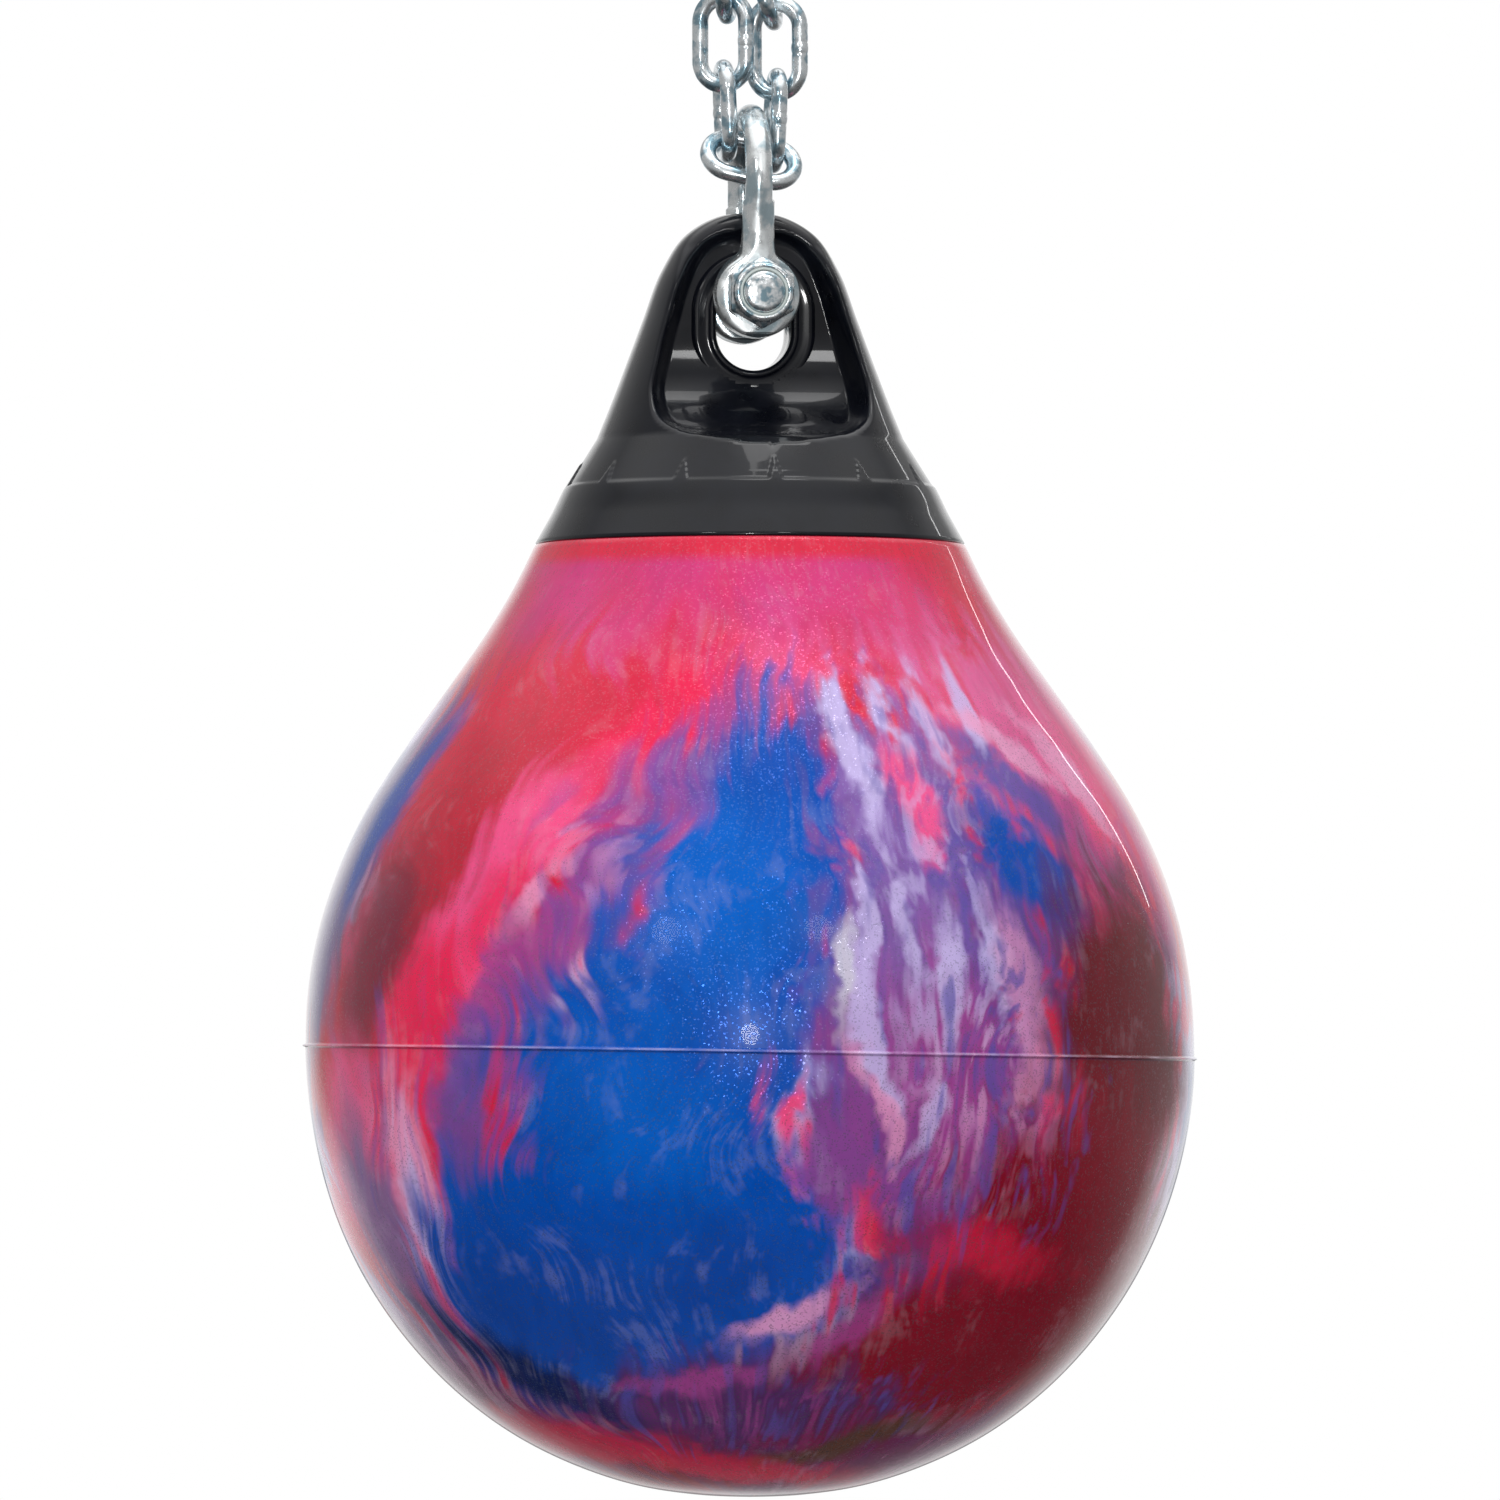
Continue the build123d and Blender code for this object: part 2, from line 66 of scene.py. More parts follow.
# ---------------------------------------------------------------- surfaces
def smooth_step(low: float, high: float, x: np.ndarray) -> np.ndarray:
    """Ease from 0 at low to 1 at high: t squared times (3 - 2t).

    Args:
        low: where the step starts.
        high: where it ends.
        x: the places asked for.

    Returns:
        Values from 0 to 1, shaped like x.
    """
    t = np.clip((x - low) / (high - low), 0.0, 1.0)
    return t * t * (3.0 - 2.0 * t)


def soft_min(a: np.ndarray, b: np.ndarray, blend: float) -> np.ndarray:
    """The lower of two heights, with the corner between them rounded over a width.

    Args:
        a: first surface.
        b: second surface.
        blend: width over which the two flow together.

    Returns:
        min(a, b) less h squared times blend / 4, where h is how far inside the width the two are.
    """
    h = np.maximum(blend - np.abs(a - b), 0.0) / blend
    return np.minimum(a, b) - h * h * blend / 4.0


def soft_max(a: np.ndarray, b: np.ndarray, blend: float) -> np.ndarray:
    """The higher of two surfaces with a rounded corner; the mirror of soft_min.

    Args:
        a: first surface.
        b: second surface.
        blend: width of the rounding.

    Returns:
        The blended upper surface.
    """
    return -soft_min(-a, -b, blend)


def curve_through(points: Profile, samples: int) -> np.ndarray:
    """A smooth line through points: a Hermite cubic on each run, its slopes taken from the neighbours.

    Args:
        points: the places the line passes, in order.
        samples: how many places to give back.

    Returns:
        Samples x 2 array, evenly spaced along the line.
    """
    p = np.array(points, float)
    knots = np.concatenate([[0.0], np.cumsum(np.hypot(*np.diff(p, axis=0).T))])
    slopes = np.gradient(p, knots, axis=0)
    t = np.linspace(0.0, knots[-1], samples * 8)
    run = np.clip(np.searchsorted(knots, t, side="right") - 1, 0, len(p) - 2)
    width = (knots[run + 1] - knots[run])[:, None]
    u = (t - knots[run])[:, None] / width
    line = (
        (2 * u**3 - 3 * u**2 + 1) * p[run] + (u**3 - 2 * u**2 + u) * width * slopes[run]
        + (3 * u**2 - 2 * u**3) * p[run + 1] + (u**3 - u**2) * width * slopes[run + 1]
    )
    return resampled(line, np.linspace(0.0, 1.0, samples))


def resampled(line: np.ndarray, where: np.ndarray) -> np.ndarray:
    """Points of a line at given shares of its length.

    Args:
        line: N x 2 points.
        where: shares from 0 to 1.

    Returns:
        len(where) x 2 points.
    """
    length = np.concatenate([[0.0], np.cumsum(np.hypot(*np.diff(line, axis=0).T))])
    asked = where * length[-1]
    return np.stack([np.interp(asked, length, line[:, 0]), np.interp(asked, length, line[:, 1])], 1)


def lattice_noise(x: np.ndarray, y: np.ndarray, z: np.ndarray) -> np.ndarray:
    """Smooth random values from 0 to 1: hashed corners of a unit lattice, eased between along three axes.

    Args:
        x: first coordinate.
        y: second coordinate.
        z: third coordinate.

    Returns:
        An array shaped like the coordinates.
    """
    places = np.broadcast_arrays(x, y, z)
    cell = [np.floor(c).astype(np.int64) for c in places]
    part = [c - f for c, f in zip(places, cell)]
    ease = [p * p * (3 - 2 * p) for p in part]
    total = np.zeros(places[0].shape)
    for corner in range(8):
        step = [(corner >> k) & 1 for k in range(3)]
        mixed = sum((c + s) * prime for c, s, prime in zip(cell, step, (73856093, 19349663, 83492791)))
        value = ((mixed ^ (mixed >> 13)) * 1274126177 & 0xFFFFFF) / 0xFFFFFF
        weight = np.ones_like(total)
        for e, s in zip(ease, step):
            weight = weight * (e if s else 1 - e)
        total += value * weight
    return total


@dataclass(frozen=True)
class Closing:
    """How a grid of points closes on itself."""

    ring: bool = False        # the last row joins the first
    poles: bool = False       # the first and last rows each shrink to a point


def surface(
    name: str, points: np.ndarray, closing: Closing, opened: np.ndarray | None = None
) -> bpy.types.Object:
    """A smooth shaded mesh from a rows x columns grid whose columns always close on themselves.

    Four neighbours make a face; poles get a fan of triangles. The enclosed volume is worked out from the
    faces, and the columns are reversed where it comes out negative, so that every face points outwards.

    Args:
        name: object name.
        points: rows x columns x 3 grid in millimetres above the bag's widest line.
        closing: how the rows close.
        opened: rows x columns, true at the points whose faces are left out.

    Returns:
        The new object, at the origin, in metres.
    """
    grid = points * MM + np.array([0.0, 0.0, SEAM_HEIGHT])
    rows, columns = grid.shape[:2]
    index = np.arange(rows * columns).reshape(rows, columns)
    index = np.concatenate([index, index[:, :1]], 1)
    if closing.ring:
        index = np.concatenate([index, index[:1]], 0)
    quads = np.stack([index[:-1, :-1], index[:-1, 1:], index[1:, 1:], index[1:, :-1]], -1).reshape(-1, 4)
    corners = grid.reshape(-1, 3)
    fans = np.empty((0, 3), int)
    if closing.poles:
        corners = np.concatenate([corners, grid[0].mean(0)[None], grid[-1].mean(0)[None]])
        first, last = rows * columns, rows * columns + 1
        low = np.stack([np.full(columns, first), index[0, 1:], index[0, :-1]], 1)
        high = np.stack([np.full(columns, last), index[-1, :-1], index[-1, 1:]], 1)
        fans = np.concatenate([low, high])
    a, b, c, d = (corners[quads[:, k]] for k in range(4))
    volume = np.einsum("ij,ij->", a, np.cross(b, c)) + np.einsum("ij,ij->", a, np.cross(c, d))
    if volume < 0:
        quads, fans = quads[:, ::-1], fans[:, ::-1]
    if opened is not None:
        quads = quads[~opened.reshape(-1)[quads].any(1)]
    used = np.zeros(len(corners), bool)
    used[quads] = used[fans] = True
    number = np.cumsum(used) - 1
    mesh = bpy.data.meshes.new(name)
    mesh.from_pydata(corners[used].tolist(), [], number[quads].tolist() + number[fans].tolist())
    mesh.polygons.foreach_set("use_smooth", np.ones(len(mesh.polygons), bool))
    mesh.update()
    piece = bpy.data.objects.new(name, mesh)
    bpy.context.scene.collection.objects.link(piece)
    return piece


def turned(points: np.ndarray, angle: float = FRONT_TURN) -> np.ndarray:
    """Turn points about the vertical: x cos - y sin, x sin + y cos.

    Args:
        points: ... x 3 array.
        angle: radians.

    Returns:
        The turned copy.
    """
    x, y, z = np.moveaxis(points, -1, 0)
    east = x * math.cos(angle) - y * math.sin(angle)
    north = x * math.sin(angle) + y * math.cos(angle)
    return np.stack([east, north, z], -1)


def ring_angles(count: int) -> np.ndarray:
    """Even angles once round, as one row."""
    return np.linspace(0.0, FULL_TURN, count, endpoint=False)[None, :]


def lathe(profile: np.ndarray, columns: int) -> np.ndarray:
    """Carry a profile of (radius, height) once around the vertical.

    Args:
        profile: rows x 2 array.
        columns: how many steps around.

    Returns:
        rows x columns x 3 grid: radius sin a, -radius cos a, height.
    """
    a = ring_angles(columns)
    r, z = profile[:, :1], profile[:, 1:]
    return np.stack([r * np.sin(a), -r * np.cos(a), z + 0 * a], -1)


def tube(path: np.ndarray, across: np.ndarray, radii: np.ndarray, flatness: np.ndarray) -> np.ndarray:
    """Carry a rounded section along a path that lies in one plane.

    At each step the section is path + across * u + side * v, where side is square to the path and to
    across, u = first radius * cos b and v = second radius * sin b. The cosine and the sine are raised to a
    power that squares the section off.

    Args:
        path: rows x 3 centre line.
        across: the direction square to the path's plane.
        radii: rows x columns x 2 half sizes, across and sideways.
        flatness: rows, the power for the section; 1 is round, less is squarer.

    Returns:
        rows x columns x 3 grid.
    """
    b = ring_angles(radii.shape[1])
    power = flatness[:, None]
    u = np.sign(np.cos(b)) * np.abs(np.cos(b)) ** power * radii[..., 0]
    v = np.sign(np.sin(b)) * np.abs(np.sin(b)) ** power * radii[..., 1]
    along = np.gradient(path, axis=0)
    side = np.cross(along, across)
    side /= np.linalg.norm(side, axis=1, keepdims=True)
    return path[:, None] + u[..., None] * across + v[..., None] * side[:, None]


# ---------------------------------------------------------------- node building
class Tree:
    """Short calls for adding nodes to one tree and joining them."""

    def __init__(self, nodes: bpy.types.NodeTree) -> None:
        """Start on an empty tree."""
        self.tree = nodes

    def add(self, kind: str, sockets: dict[Any, Any], **settings: Any) -> bpy.types.Node:
        """Add a node, set its options and feed its inputs.

        Args:
            kind: Blender's name of the node type.
            sockets: input name or number to a value or an output socket.
            settings: attributes of the node.

        Returns:
            The node.
        """
        node = self.tree.nodes.new(kind)
        for key, value in settings.items():
            setattr(node, key, value)
        for key, value in sockets.items():
            if isinstance(value, bpy.types.NodeSocket):
                self.tree.links.new(value, node.inputs[key])
            else:
                node.inputs[key].default_value = value
        return node

    def math(self, operation: str, a: Any, b: Any = 0.0, c: Any = 0.0) -> bpy.types.NodeSocket:
        """One arithmetic step on numbers."""
        return self.add("ShaderNodeMath", {0: a, 1: b, 2: c}, operation=operation).outputs[0]

    def vector(self, operation: str, a: Any, b: Any = (0.0, 0.0, 0.0)) -> bpy.types.NodeSocket:
        """One arithmetic step on vectors."""
        node = self.add("ShaderNodeVectorMath", {0: a, 1: b}, operation=operation)
        return node.outputs["Value" if operation in ("LENGTH", "DOT_PRODUCT") else "Vector"]

    def pack(self, x: Any, y: Any, z: Any) -> bpy.types.NodeSocket:
        """Three numbers as a vector."""
        return self.add("ShaderNodeCombineXYZ", {0: x, 1: y, 2: z}).outputs[0]

    def split(self, value: Any) -> tuple[bpy.types.NodeSocket, ...]:
        """A vector's three numbers."""
        return tuple(self.add("ShaderNodeSeparateXYZ", {0: value}).outputs)

    def hypotenuse(self, x: Any, y: Any) -> bpy.types.NodeSocket:
        """The square root of x squared plus y squared."""
        return self.math("SQRT", self.math("ADD", self.math("MULTIPLY", x, x), self.math("MULTIPLY", y, y)))

    def sway(self, value: Any, amount: Any, base: Any) -> bpy.types.NodeSocket:
        """Push a base up or down by an amount times how far a value is from 0.5."""
        return self.math("MULTIPLY_ADD", self.math("SUBTRACT", value, 0.5), amount, base)

    def feed(self, shader: bpy.types.Node, key: str, value: bpy.types.NodeSocket) -> None:
        """Join a value to a shader's input."""
        self.tree.links.new(value, shader.inputs[key])

    def noise(self, place: Any, scale: Any, detail: float = 2.0, rough: float = 0.5) -> Any:
        """Smooth random values around 0.5."""
        sockets = {"Vector": place, "Scale": scale, "Detail": detail, "Roughness": rough}
        return self.add("ShaderNodeTexNoise", sockets).outputs[0]

    def remap(
        self, value: Any, low: Any, high: Any, out_low: float = 0.0, out_high: float = 1.0
    ) -> bpy.types.NodeSocket:
        """An eased step from one range to another, clamped at its ends."""
        sockets = {"Value": value, "From Min": low, "From Max": high, "To Min": out_low, "To Max": out_high}
        return self.add("ShaderNodeMapRange", sockets, interpolation_type="SMOOTHSTEP").outputs[0]

    def mix(self, share: Any, a: Any, b: Any) -> bpy.types.NodeSocket:
        """Blend two colours."""
        node = self.add("ShaderNodeMix", {0: share, 6: a, 7: b}, data_type="RGBA")
        return node.outputs[2]

    def place(self) -> bpy.types.NodeSocket:
        """Object coordinates."""
        return self.add("ShaderNodeTexCoord", {}).outputs["Object"]


def colour(red: int, green: int, blue: int) -> tuple[float, float, float, float]:
    """A colour given in display values, made linear: below 0.04045 a straight line, above it a 2.4 power.

    Args:
        red: 0 to 255.
        green: 0 to 255.
        blue: 0 to 255.

    Returns:
        Linear red, green, blue and 1.
    """
    shares = [c / 255.0 for c in (red, green, blue)]
    linear = [s / 12.92 if s <= 0.04045 else ((s + 0.055) / 1.055) ** 2.4 for s in shares]
    return linear[0], linear[1], linear[2], 1.0


def new_group(
    name: str, takes: dict[str, tuple[str, Any]], gives: dict[str, str]
) -> tuple[bpy.types.NodeTree, Tree, dict]:
    """Start a shader node group with named inputs and outputs.

    Args:
        name: the group's name.
        takes: input name to (socket kind, default).
        gives: output name to socket kind.

    Returns:
        The group, a Tree to build in it, and its inputs by name.
    """
    group = bpy.data.node_groups.new(name, "ShaderNodeTree")
    kinds = {"float": "NodeSocketFloat", "vector": "NodeSocketVector", "colour": "NodeSocketColor"}
    for key, (kind, default) in takes.items():
        socket = group.interface.new_socket(name=key, in_out="INPUT", socket_type=kinds[kind])
        socket.default_value = default
    for key, kind in gives.items():
        group.interface.new_socket(name=key, in_out="OUTPUT", socket_type=kinds[kind])
    build = Tree(group)
    source = build.add("NodeGroupInput", {})
    return group, build, {key: source.outputs[key] for key in takes}


ORIGIN = ("vector", (0.0, 0.0, 0.0))      # a group's input for a place


class Effects:
    """The node groups that several finishes share."""

    def __init__(self) -> None:
        """Build each group once."""
        self.stroke = self.make_stroke()
        self.streaks = self.make_streaks()
        self.grain = self.make_grain()
        self.plating = self.make_plating()
        self.handling = self.make_handling()

    @staticmethod
    def make_stroke() -> bpy.types.NodeTree:
        """One patch of pigment: an oval around a centre, leaned over, its edge broken into feathers.

        The place is (degrees around, height in mm, radius in mm). The distance from the centre, divided by
        the oval's half sizes, plus the streaks times the feather amount, is compared with 1.
        """
        takes = {
            "Place": ORIGIN, "Streaks": ("float", 0.5), "Centre": ORIGIN,
            "Half size": ("vector", (1, 1, 1)), "Lean": ("float", 0.0), "Softness": ("float", 0.4),
            "Feather": ("float", 0.5), "Strength": ("float", 1.0),
        }
        group, t, given = new_group("pigment_stroke", takes, {"Mask": "float"})
        around, height, radius = t.split(given["Place"])
        centre_around, centre_height, _ = t.split(given["Centre"])
        turn = t.math("WRAP", t.math("SUBTRACT", around, centre_around), 180.0, -180.0)
        across = t.math("MULTIPLY", t.math("MULTIPLY", turn, math.pi / 180.0), radius)
        offset = t.pack(across, t.math("SUBTRACT", height, centre_height), 0.0)
        leaned = t.add(
            "ShaderNodeVectorRotate", {"Vector": offset, "Axis": (0, 0, 1), "Angle": given["Lean"]},
            rotation_type="AXIS_ANGLE",
        ).outputs[0]
        reach = t.vector("LENGTH", t.vector("DIVIDE", leaned, given["Half size"]))
        broken = t.sway(given["Streaks"], given["Feather"], reach)
        inner = t.math("SUBTRACT", 1.0, given["Softness"])
        outer = t.math("ADD", 1.0, given["Softness"])
        mask = t.remap(broken, inner, outer, 1.0, 0.0)
        t.add("NodeGroupOutput", {"Mask": t.math("MULTIPLY", mask, given["Strength"])})
        return group

    @staticmethod
    def make_streaks() -> bpy.types.NodeTree:
        """Long thin streaks up an upright round body: noise packed closely around it and loosely up it."""
        takes = {
            "Place": ORIGIN, "Across": ("float", 20.0), "Along": ("float", 20.0), "Wander": ("float", 0.2),
        }
        group, t, given = new_group("upright_streaks", takes, {"Value": "float"})
        x, y, z = t.split(given["Place"])
        radius = t.math("MAXIMUM", t.hypotenuse(x, y), 0.02)
        drift = t.sway(t.noise(given["Place"], 14.0, 1.0), given["Wander"], 0.0)
        east = t.math("ADD", t.math("DIVIDE", x, radius), drift)
        north = t.math("SUBTRACT", t.math("DIVIDE", y, radius), drift)
        stretched = t.pack(
            t.math("MULTIPLY", east, given["Across"]), t.math("MULTIPLY", north, given["Across"]),
            t.math("MULTIPLY", z, given["Along"]),
        )
        t.add("NodeGroupOutput", {"Value": t.remap(t.noise(stretched, 1.0, 2.0, 0.5), 0.25, 0.75)})
        return group

    @staticmethod
    def make_grain() -> bpy.types.NodeTree:
        """The fine unevenness of a moulded skin: a fine ripple over slow waves."""
        takes = {"Place": ORIGIN, "Ripple": ("float", 900.0), "Waves": ("float", 30.0)}
        group, t, given = new_group("moulded_grain", takes, {"Height": "float", "Patches": "float"})
        fine = t.noise(given["Place"], given["Ripple"])
        slow = t.noise(given["Place"], given["Waves"], 3.0)
        height = t.math("MULTIPLY_ADD", fine, 0.12, slow)
        t.add("NodeGroupOutput", {"Height": height, "Patches": t.remap(slow, 0.3, 0.7)})
        return group

    @staticmethod
    def make_plating() -> bpy.types.NodeTree:
        """Zinc plate: a pale skin with teal tint in the thin places, milky bloom and small pits."""
        takes = {
            "Place": ORIGIN, "Bright": ("colour", (0.8, 0.85, 0.87, 1)),
            "Tint": ("colour", (0.3, 0.5, 0.56, 1)), "Scale": ("float", 260.0), "Bloom": ("float", 0.4),
        }
        gives = {"Colour": "colour", "Roughness": "float", "Height": "float"}
        group, t, given = new_group("zinc_plating", takes, gives)
        broad = t.noise(given["Place"], given["Scale"], 3.0)
        fine = t.noise(given["Place"], 2600.0, 3.0, 0.6)
        thin = t.remap(broad, 0.46, 0.62)
        milky = t.math("MULTIPLY", t.remap(broad, 0.52, 0.34), given["Bloom"])
        tinted = t.mix(t.math("MULTIPLY", thin, 0.75), given["Bright"], given["Tint"])
        bloomed = t.mix(milky, tinted, (0.90, 0.93, 0.93, 1))
        pits = t.remap(fine, 0.66, 0.74)
        final = t.mix(t.math("MULTIPLY", pits, 0.6), bloomed, (0.10, 0.13, 0.15, 1))
        rough = t.math("MULTIPLY_ADD", milky, 0.36, t.math("MULTIPLY_ADD", fine, 0.12, 0.12))
        height = t.math("SUBTRACT", t.math("MULTIPLY_ADD", broad, 0.7, t.math("MULTIPLY", fine, 0.3)), pits)
        t.add("NodeGroupOutput", {"Colour": final, "Roughness": rough, "Height": height})
        return group

    @staticmethod
    def make_handling() -> bpy.types.NodeTree:
        """Faint dust and hairline scuffs: thin stretched noise, kept to a few patches."""
        takes = {"Place": ORIGIN, "Scale": ("float", 60.0), "Amount": ("float", 0.5)}
        group, t, given = new_group("handling_marks", takes, {"Marks": "float"})
        stretched = t.vector("MULTIPLY", given["Place"], (1.0, 1.0, 0.14))
        turned_place = t.add(
            "ShaderNodeVectorRotate", {"Vector": stretched, "Axis": (0.4, 0.7, 0.6), "Angle": 0.9},
            rotation_type="AXIS_ANGLE",
        ).outputs[0]
        hair = t.remap(t.noise(turned_place, 1500.0, 2.0, 0.7), 0.66, 0.74)
        patch = t.noise(given["Place"], given["Scale"])
        kept = t.math("MULTIPLY", hair, t.remap(patch, 0.5, 0.65))
        t.add("NodeGroupOutput", {"Marks": t.math("MULTIPLY", kept, given["Amount"])})
        return group


def use(t: Tree, group: bpy.types.NodeTree, **sockets: Any) -> bpy.types.Node:
    """Place a shared group in a material.

    Args:
        t: the material's tree.
        group: the group.
        sockets: its inputs, an underscore standing for a space.

    Returns:
        The group's node.
    """
    node = t.add("ShaderNodeGroup", {}, node_tree=group)
    for key, value in sockets.items():
        socket = node.inputs[key.replace("_", " ")]
        if isinstance(value, bpy.types.NodeSocket):
            t.tree.links.new(value, socket)
        else:
            socket.default_value = value
    return node


def new_material(name: str, fixed: dict[str, Any]) -> tuple[bpy.types.Material, Tree, bpy.types.Node]:
    """A material with one Principled shader.

    Args:
        name: the material's name.
        fixed: shader inputs that are the same all over.

    Returns:
        The material, its tree and the shader.
    """
    material = bpy.data.materials.new(name)
    material.use_nodes = True
    material.node_tree.nodes.clear()
    t = Tree(material.node_tree)
    shader = t.add("ShaderNodeBsdfPrincipled", fixed)
    t.add("ShaderNodeOutputMaterial", {"Surface": shader.outputs[0]})
    return material, t, shader


def bumped(
    t: Tree, shader: bpy.types.Node, height: Any, strength: float, depth: float, under: Any = None
) -> None:
    """Feed a height into the shader's normal.

    Args:
        t: the material's tree.
        shader: its Principled shader.
        height: values from 0 to 1.
        strength: share of the bump used.
        depth: metres from lowest to highest.
        under: a normal that the bump goes over, if any.
    """
    sockets = {"Height": height, "Strength": strength, "Distance": depth}
    if under is not None:
        sockets["Normal"] = under
    t.feed(shader, "Normal", t.add("ShaderNodeBump", sockets).outputs[0])


# ---------------------------------------------------------------- finishes
class Pigment(Enum):
    """The vinyl's pigments."""

    THIN_RED = (220, 46, 74)
    ROSE = (212, 62, 128)
    MAUVE_PINK = (222, 92, 150)
    CRIMSON = (236, 34, 84)
    RED = (214, 30, 66)
    DEEP_RED = (188, 38, 58)
    WINE = (118, 32, 56)
    MIST = (232, 236, 246)
    SLATE = (118, 98, 150)
    HOT_PINK = (246, 84, 142)
    PALE_PINK = (232, 156, 198)
    PURPLE = (164, 66, 142)
    INDIGO = (84, 78, 164)
    DEEP_BLUE = (8, 60, 150)
    BLUE = (0, 76, 176)
    BRIGHT_BLUE = (0, 112, 218)
    NAVY = (4, 20, 72)
    LAVENDER = (198, 182, 232)
    VIOLET = (130, 100, 176)
    PLUM = (132, 66, 142)
    MAROON = (106, 16, 30)
    OXBLOOD = (128, 10, 34)
    OLIVE = (84, 62, 40)
    AUBERGINE = (84, 40, 96)

    @property
    def paint(self) -> tuple[float, float, float, float]:
        """The pigment as a linear colour."""
        return colour(*self.value)


@dataclass(frozen=True)
class Stroke:
    """One patch of pigment laid on the bag: where, how large and how ragged."""

    pigment: Pigment
    around: float          # degrees from the front, to the right
    height: float          # mm above the widest line
    half_width: float      # mm
    half_height: float     # mm
    lean: float            # degrees from upright, its top to the right
    softness: float
    feather: float
    strength: float


@dataclass(frozen=True)
class MarbledVinyl:
    """Glossy vinyl, marbled in the mould, with fine metal flakes under a clear skin."""

    effects: Effects
    strokes: tuple[Stroke, ...]
    licks: tuple[Stroke, ...]
    warp_around: float = 15.0          # degrees that a stroke's edge may be pushed round the bag
    warp_up: float = 40.0              # mm that it may be pushed up or down
    flake_scale: float = 1700.0        # cells in a metre
    flake_rarity: float = 0.86         # the share of cells with no flake
    flake_lean: float = 0.20           # how far a flake tips from the skin
    flake_tint: float = 0.05
    flake_metal: float = 0.42

    def make(self) -> bpy.types.Material:
        """Build the material: a cloudy ground, bands at top and bottom, then the strokes in order."""
        fixed = {"Specular IOR Level": 0.10, "Coat Roughness": 0.02, "Coat IOR": 1.45}
        material, t, shader = new_material("marbled_vinyl", fixed)
        place = t.place()
        streaks = use(t, self.effects.streaks, Place=place, Across=15.0, Along=15.0, Wander=0.35).outputs[0]
        fine = use(t, self.effects.streaks, Place=place, Across=42.0, Along=26.0, Wander=0.45).outputs[0]
        spot, height = self.warped_place(t, place)
        painted = self.ground(t, place, streaks, height)
        edges = t.math("MULTIPLY_ADD", fine, 0.18, t.math("MULTIPLY", streaks, 0.82))
        for stroke in self.strokes:
            painted = t.mix(self.mask(t, spot, edges, stroke), painted, stroke.pigment.paint)
        painted = self.licked(t, painted, place, spot)
        painted = self.bands(t, painted, place, height, streaks)
        painted = self.parting(t, self.clouds(t, painted, place, fine), place, height)
        flakes, tilt = self.flakes(t, place)
        flaked = t.mix(t.math("MULTIPLY", flakes, self.flake_tint), painted, (0.60, 0.78, 0.95, 1.0))
        t.feed(shader, "Base Color", flaked)
        t.feed(shader, "Metallic", t.math("MULTIPLY", flakes, self.flake_metal))
        facing = t.add("ShaderNodeLayerWeight", {}).outputs["Facing"]
        t.feed(shader, "Coat Weight", t.remap(facing, 0.12, 0.62, 0.05, 0.9))
        grain = use(t, self.effects.grain, Place=place, Ripple=700.0, Waves=26.0)
        marks = use(t, self.effects.handling, Place=place, Scale=22.0, Amount=0.25).outputs[0]
        rough = t.math("MULTIPLY_ADD", grain.outputs["Patches"], 0.08, 0.22)
        t.feed(shader, "Roughness", t.math("MULTIPLY_ADD", marks, 0.25, rough))
        bumped(t, shader, grain.outputs["Height"], 0.12, 0.0004, tilt)
        return material

    def mask(self, t: Tree, spot: Any, edges: Any, stroke: Stroke) -> Any:
        """Where one stroke lies.

        Args:
            t: the material's tree.
            spot: the pushed place.
            edges: the streaks that break its edge.
            stroke: its sizes.

        Returns:
            The stroke group's mask.
        """
        return use(
            t, self.effects.stroke, Place=spot, Streaks=edges, Centre=(stroke.around, stroke.height, 0.0),
            Half_size=(stroke.half_width, stroke.half_height, 1.0), Lean=math.radians(stroke.lean),
            Softness=stroke.softness, Feather=stroke.feather, Strength=stroke.strength,
        ).outputs[0]

    def warped_place(self, t: Tree, place: Any) -> tuple[Any, Any]:
        """The place as (degrees around, height, radius), pushed about so that no stroke is a plain oval.

        Args:
            t: the material's tree.
            place: Object coordinates.

        Returns:
            The pushed place, and the true height in mm.
        """
        x, y, z = t.split(place)
        around = t.math("MULTIPLY", t.math("ARCTAN2", x, t.math("MULTIPLY", y, -1.0)), 180.0 / math.pi)
        radius_mm = t.math("MULTIPLY", t.math("MAXIMUM", t.hypotenuse(x, y), 0.03), 1000.0)
        height = t.math("MULTIPLY", t.math("SUBTRACT", z, SEAM_HEIGHT), 1000.0)
        sideways = t.noise(place, 16.0, 4.0, 0.6)
        upwards = t.noise(t.vector("ADD", place, (3.0, 1.7, 0.4)), 13.0, 4.0, 0.62)
        pushed = t.sway(sideways, self.warp_around, around), t.sway(upwards, self.warp_up, height)
        return t.pack(*pushed, radius_mm), height

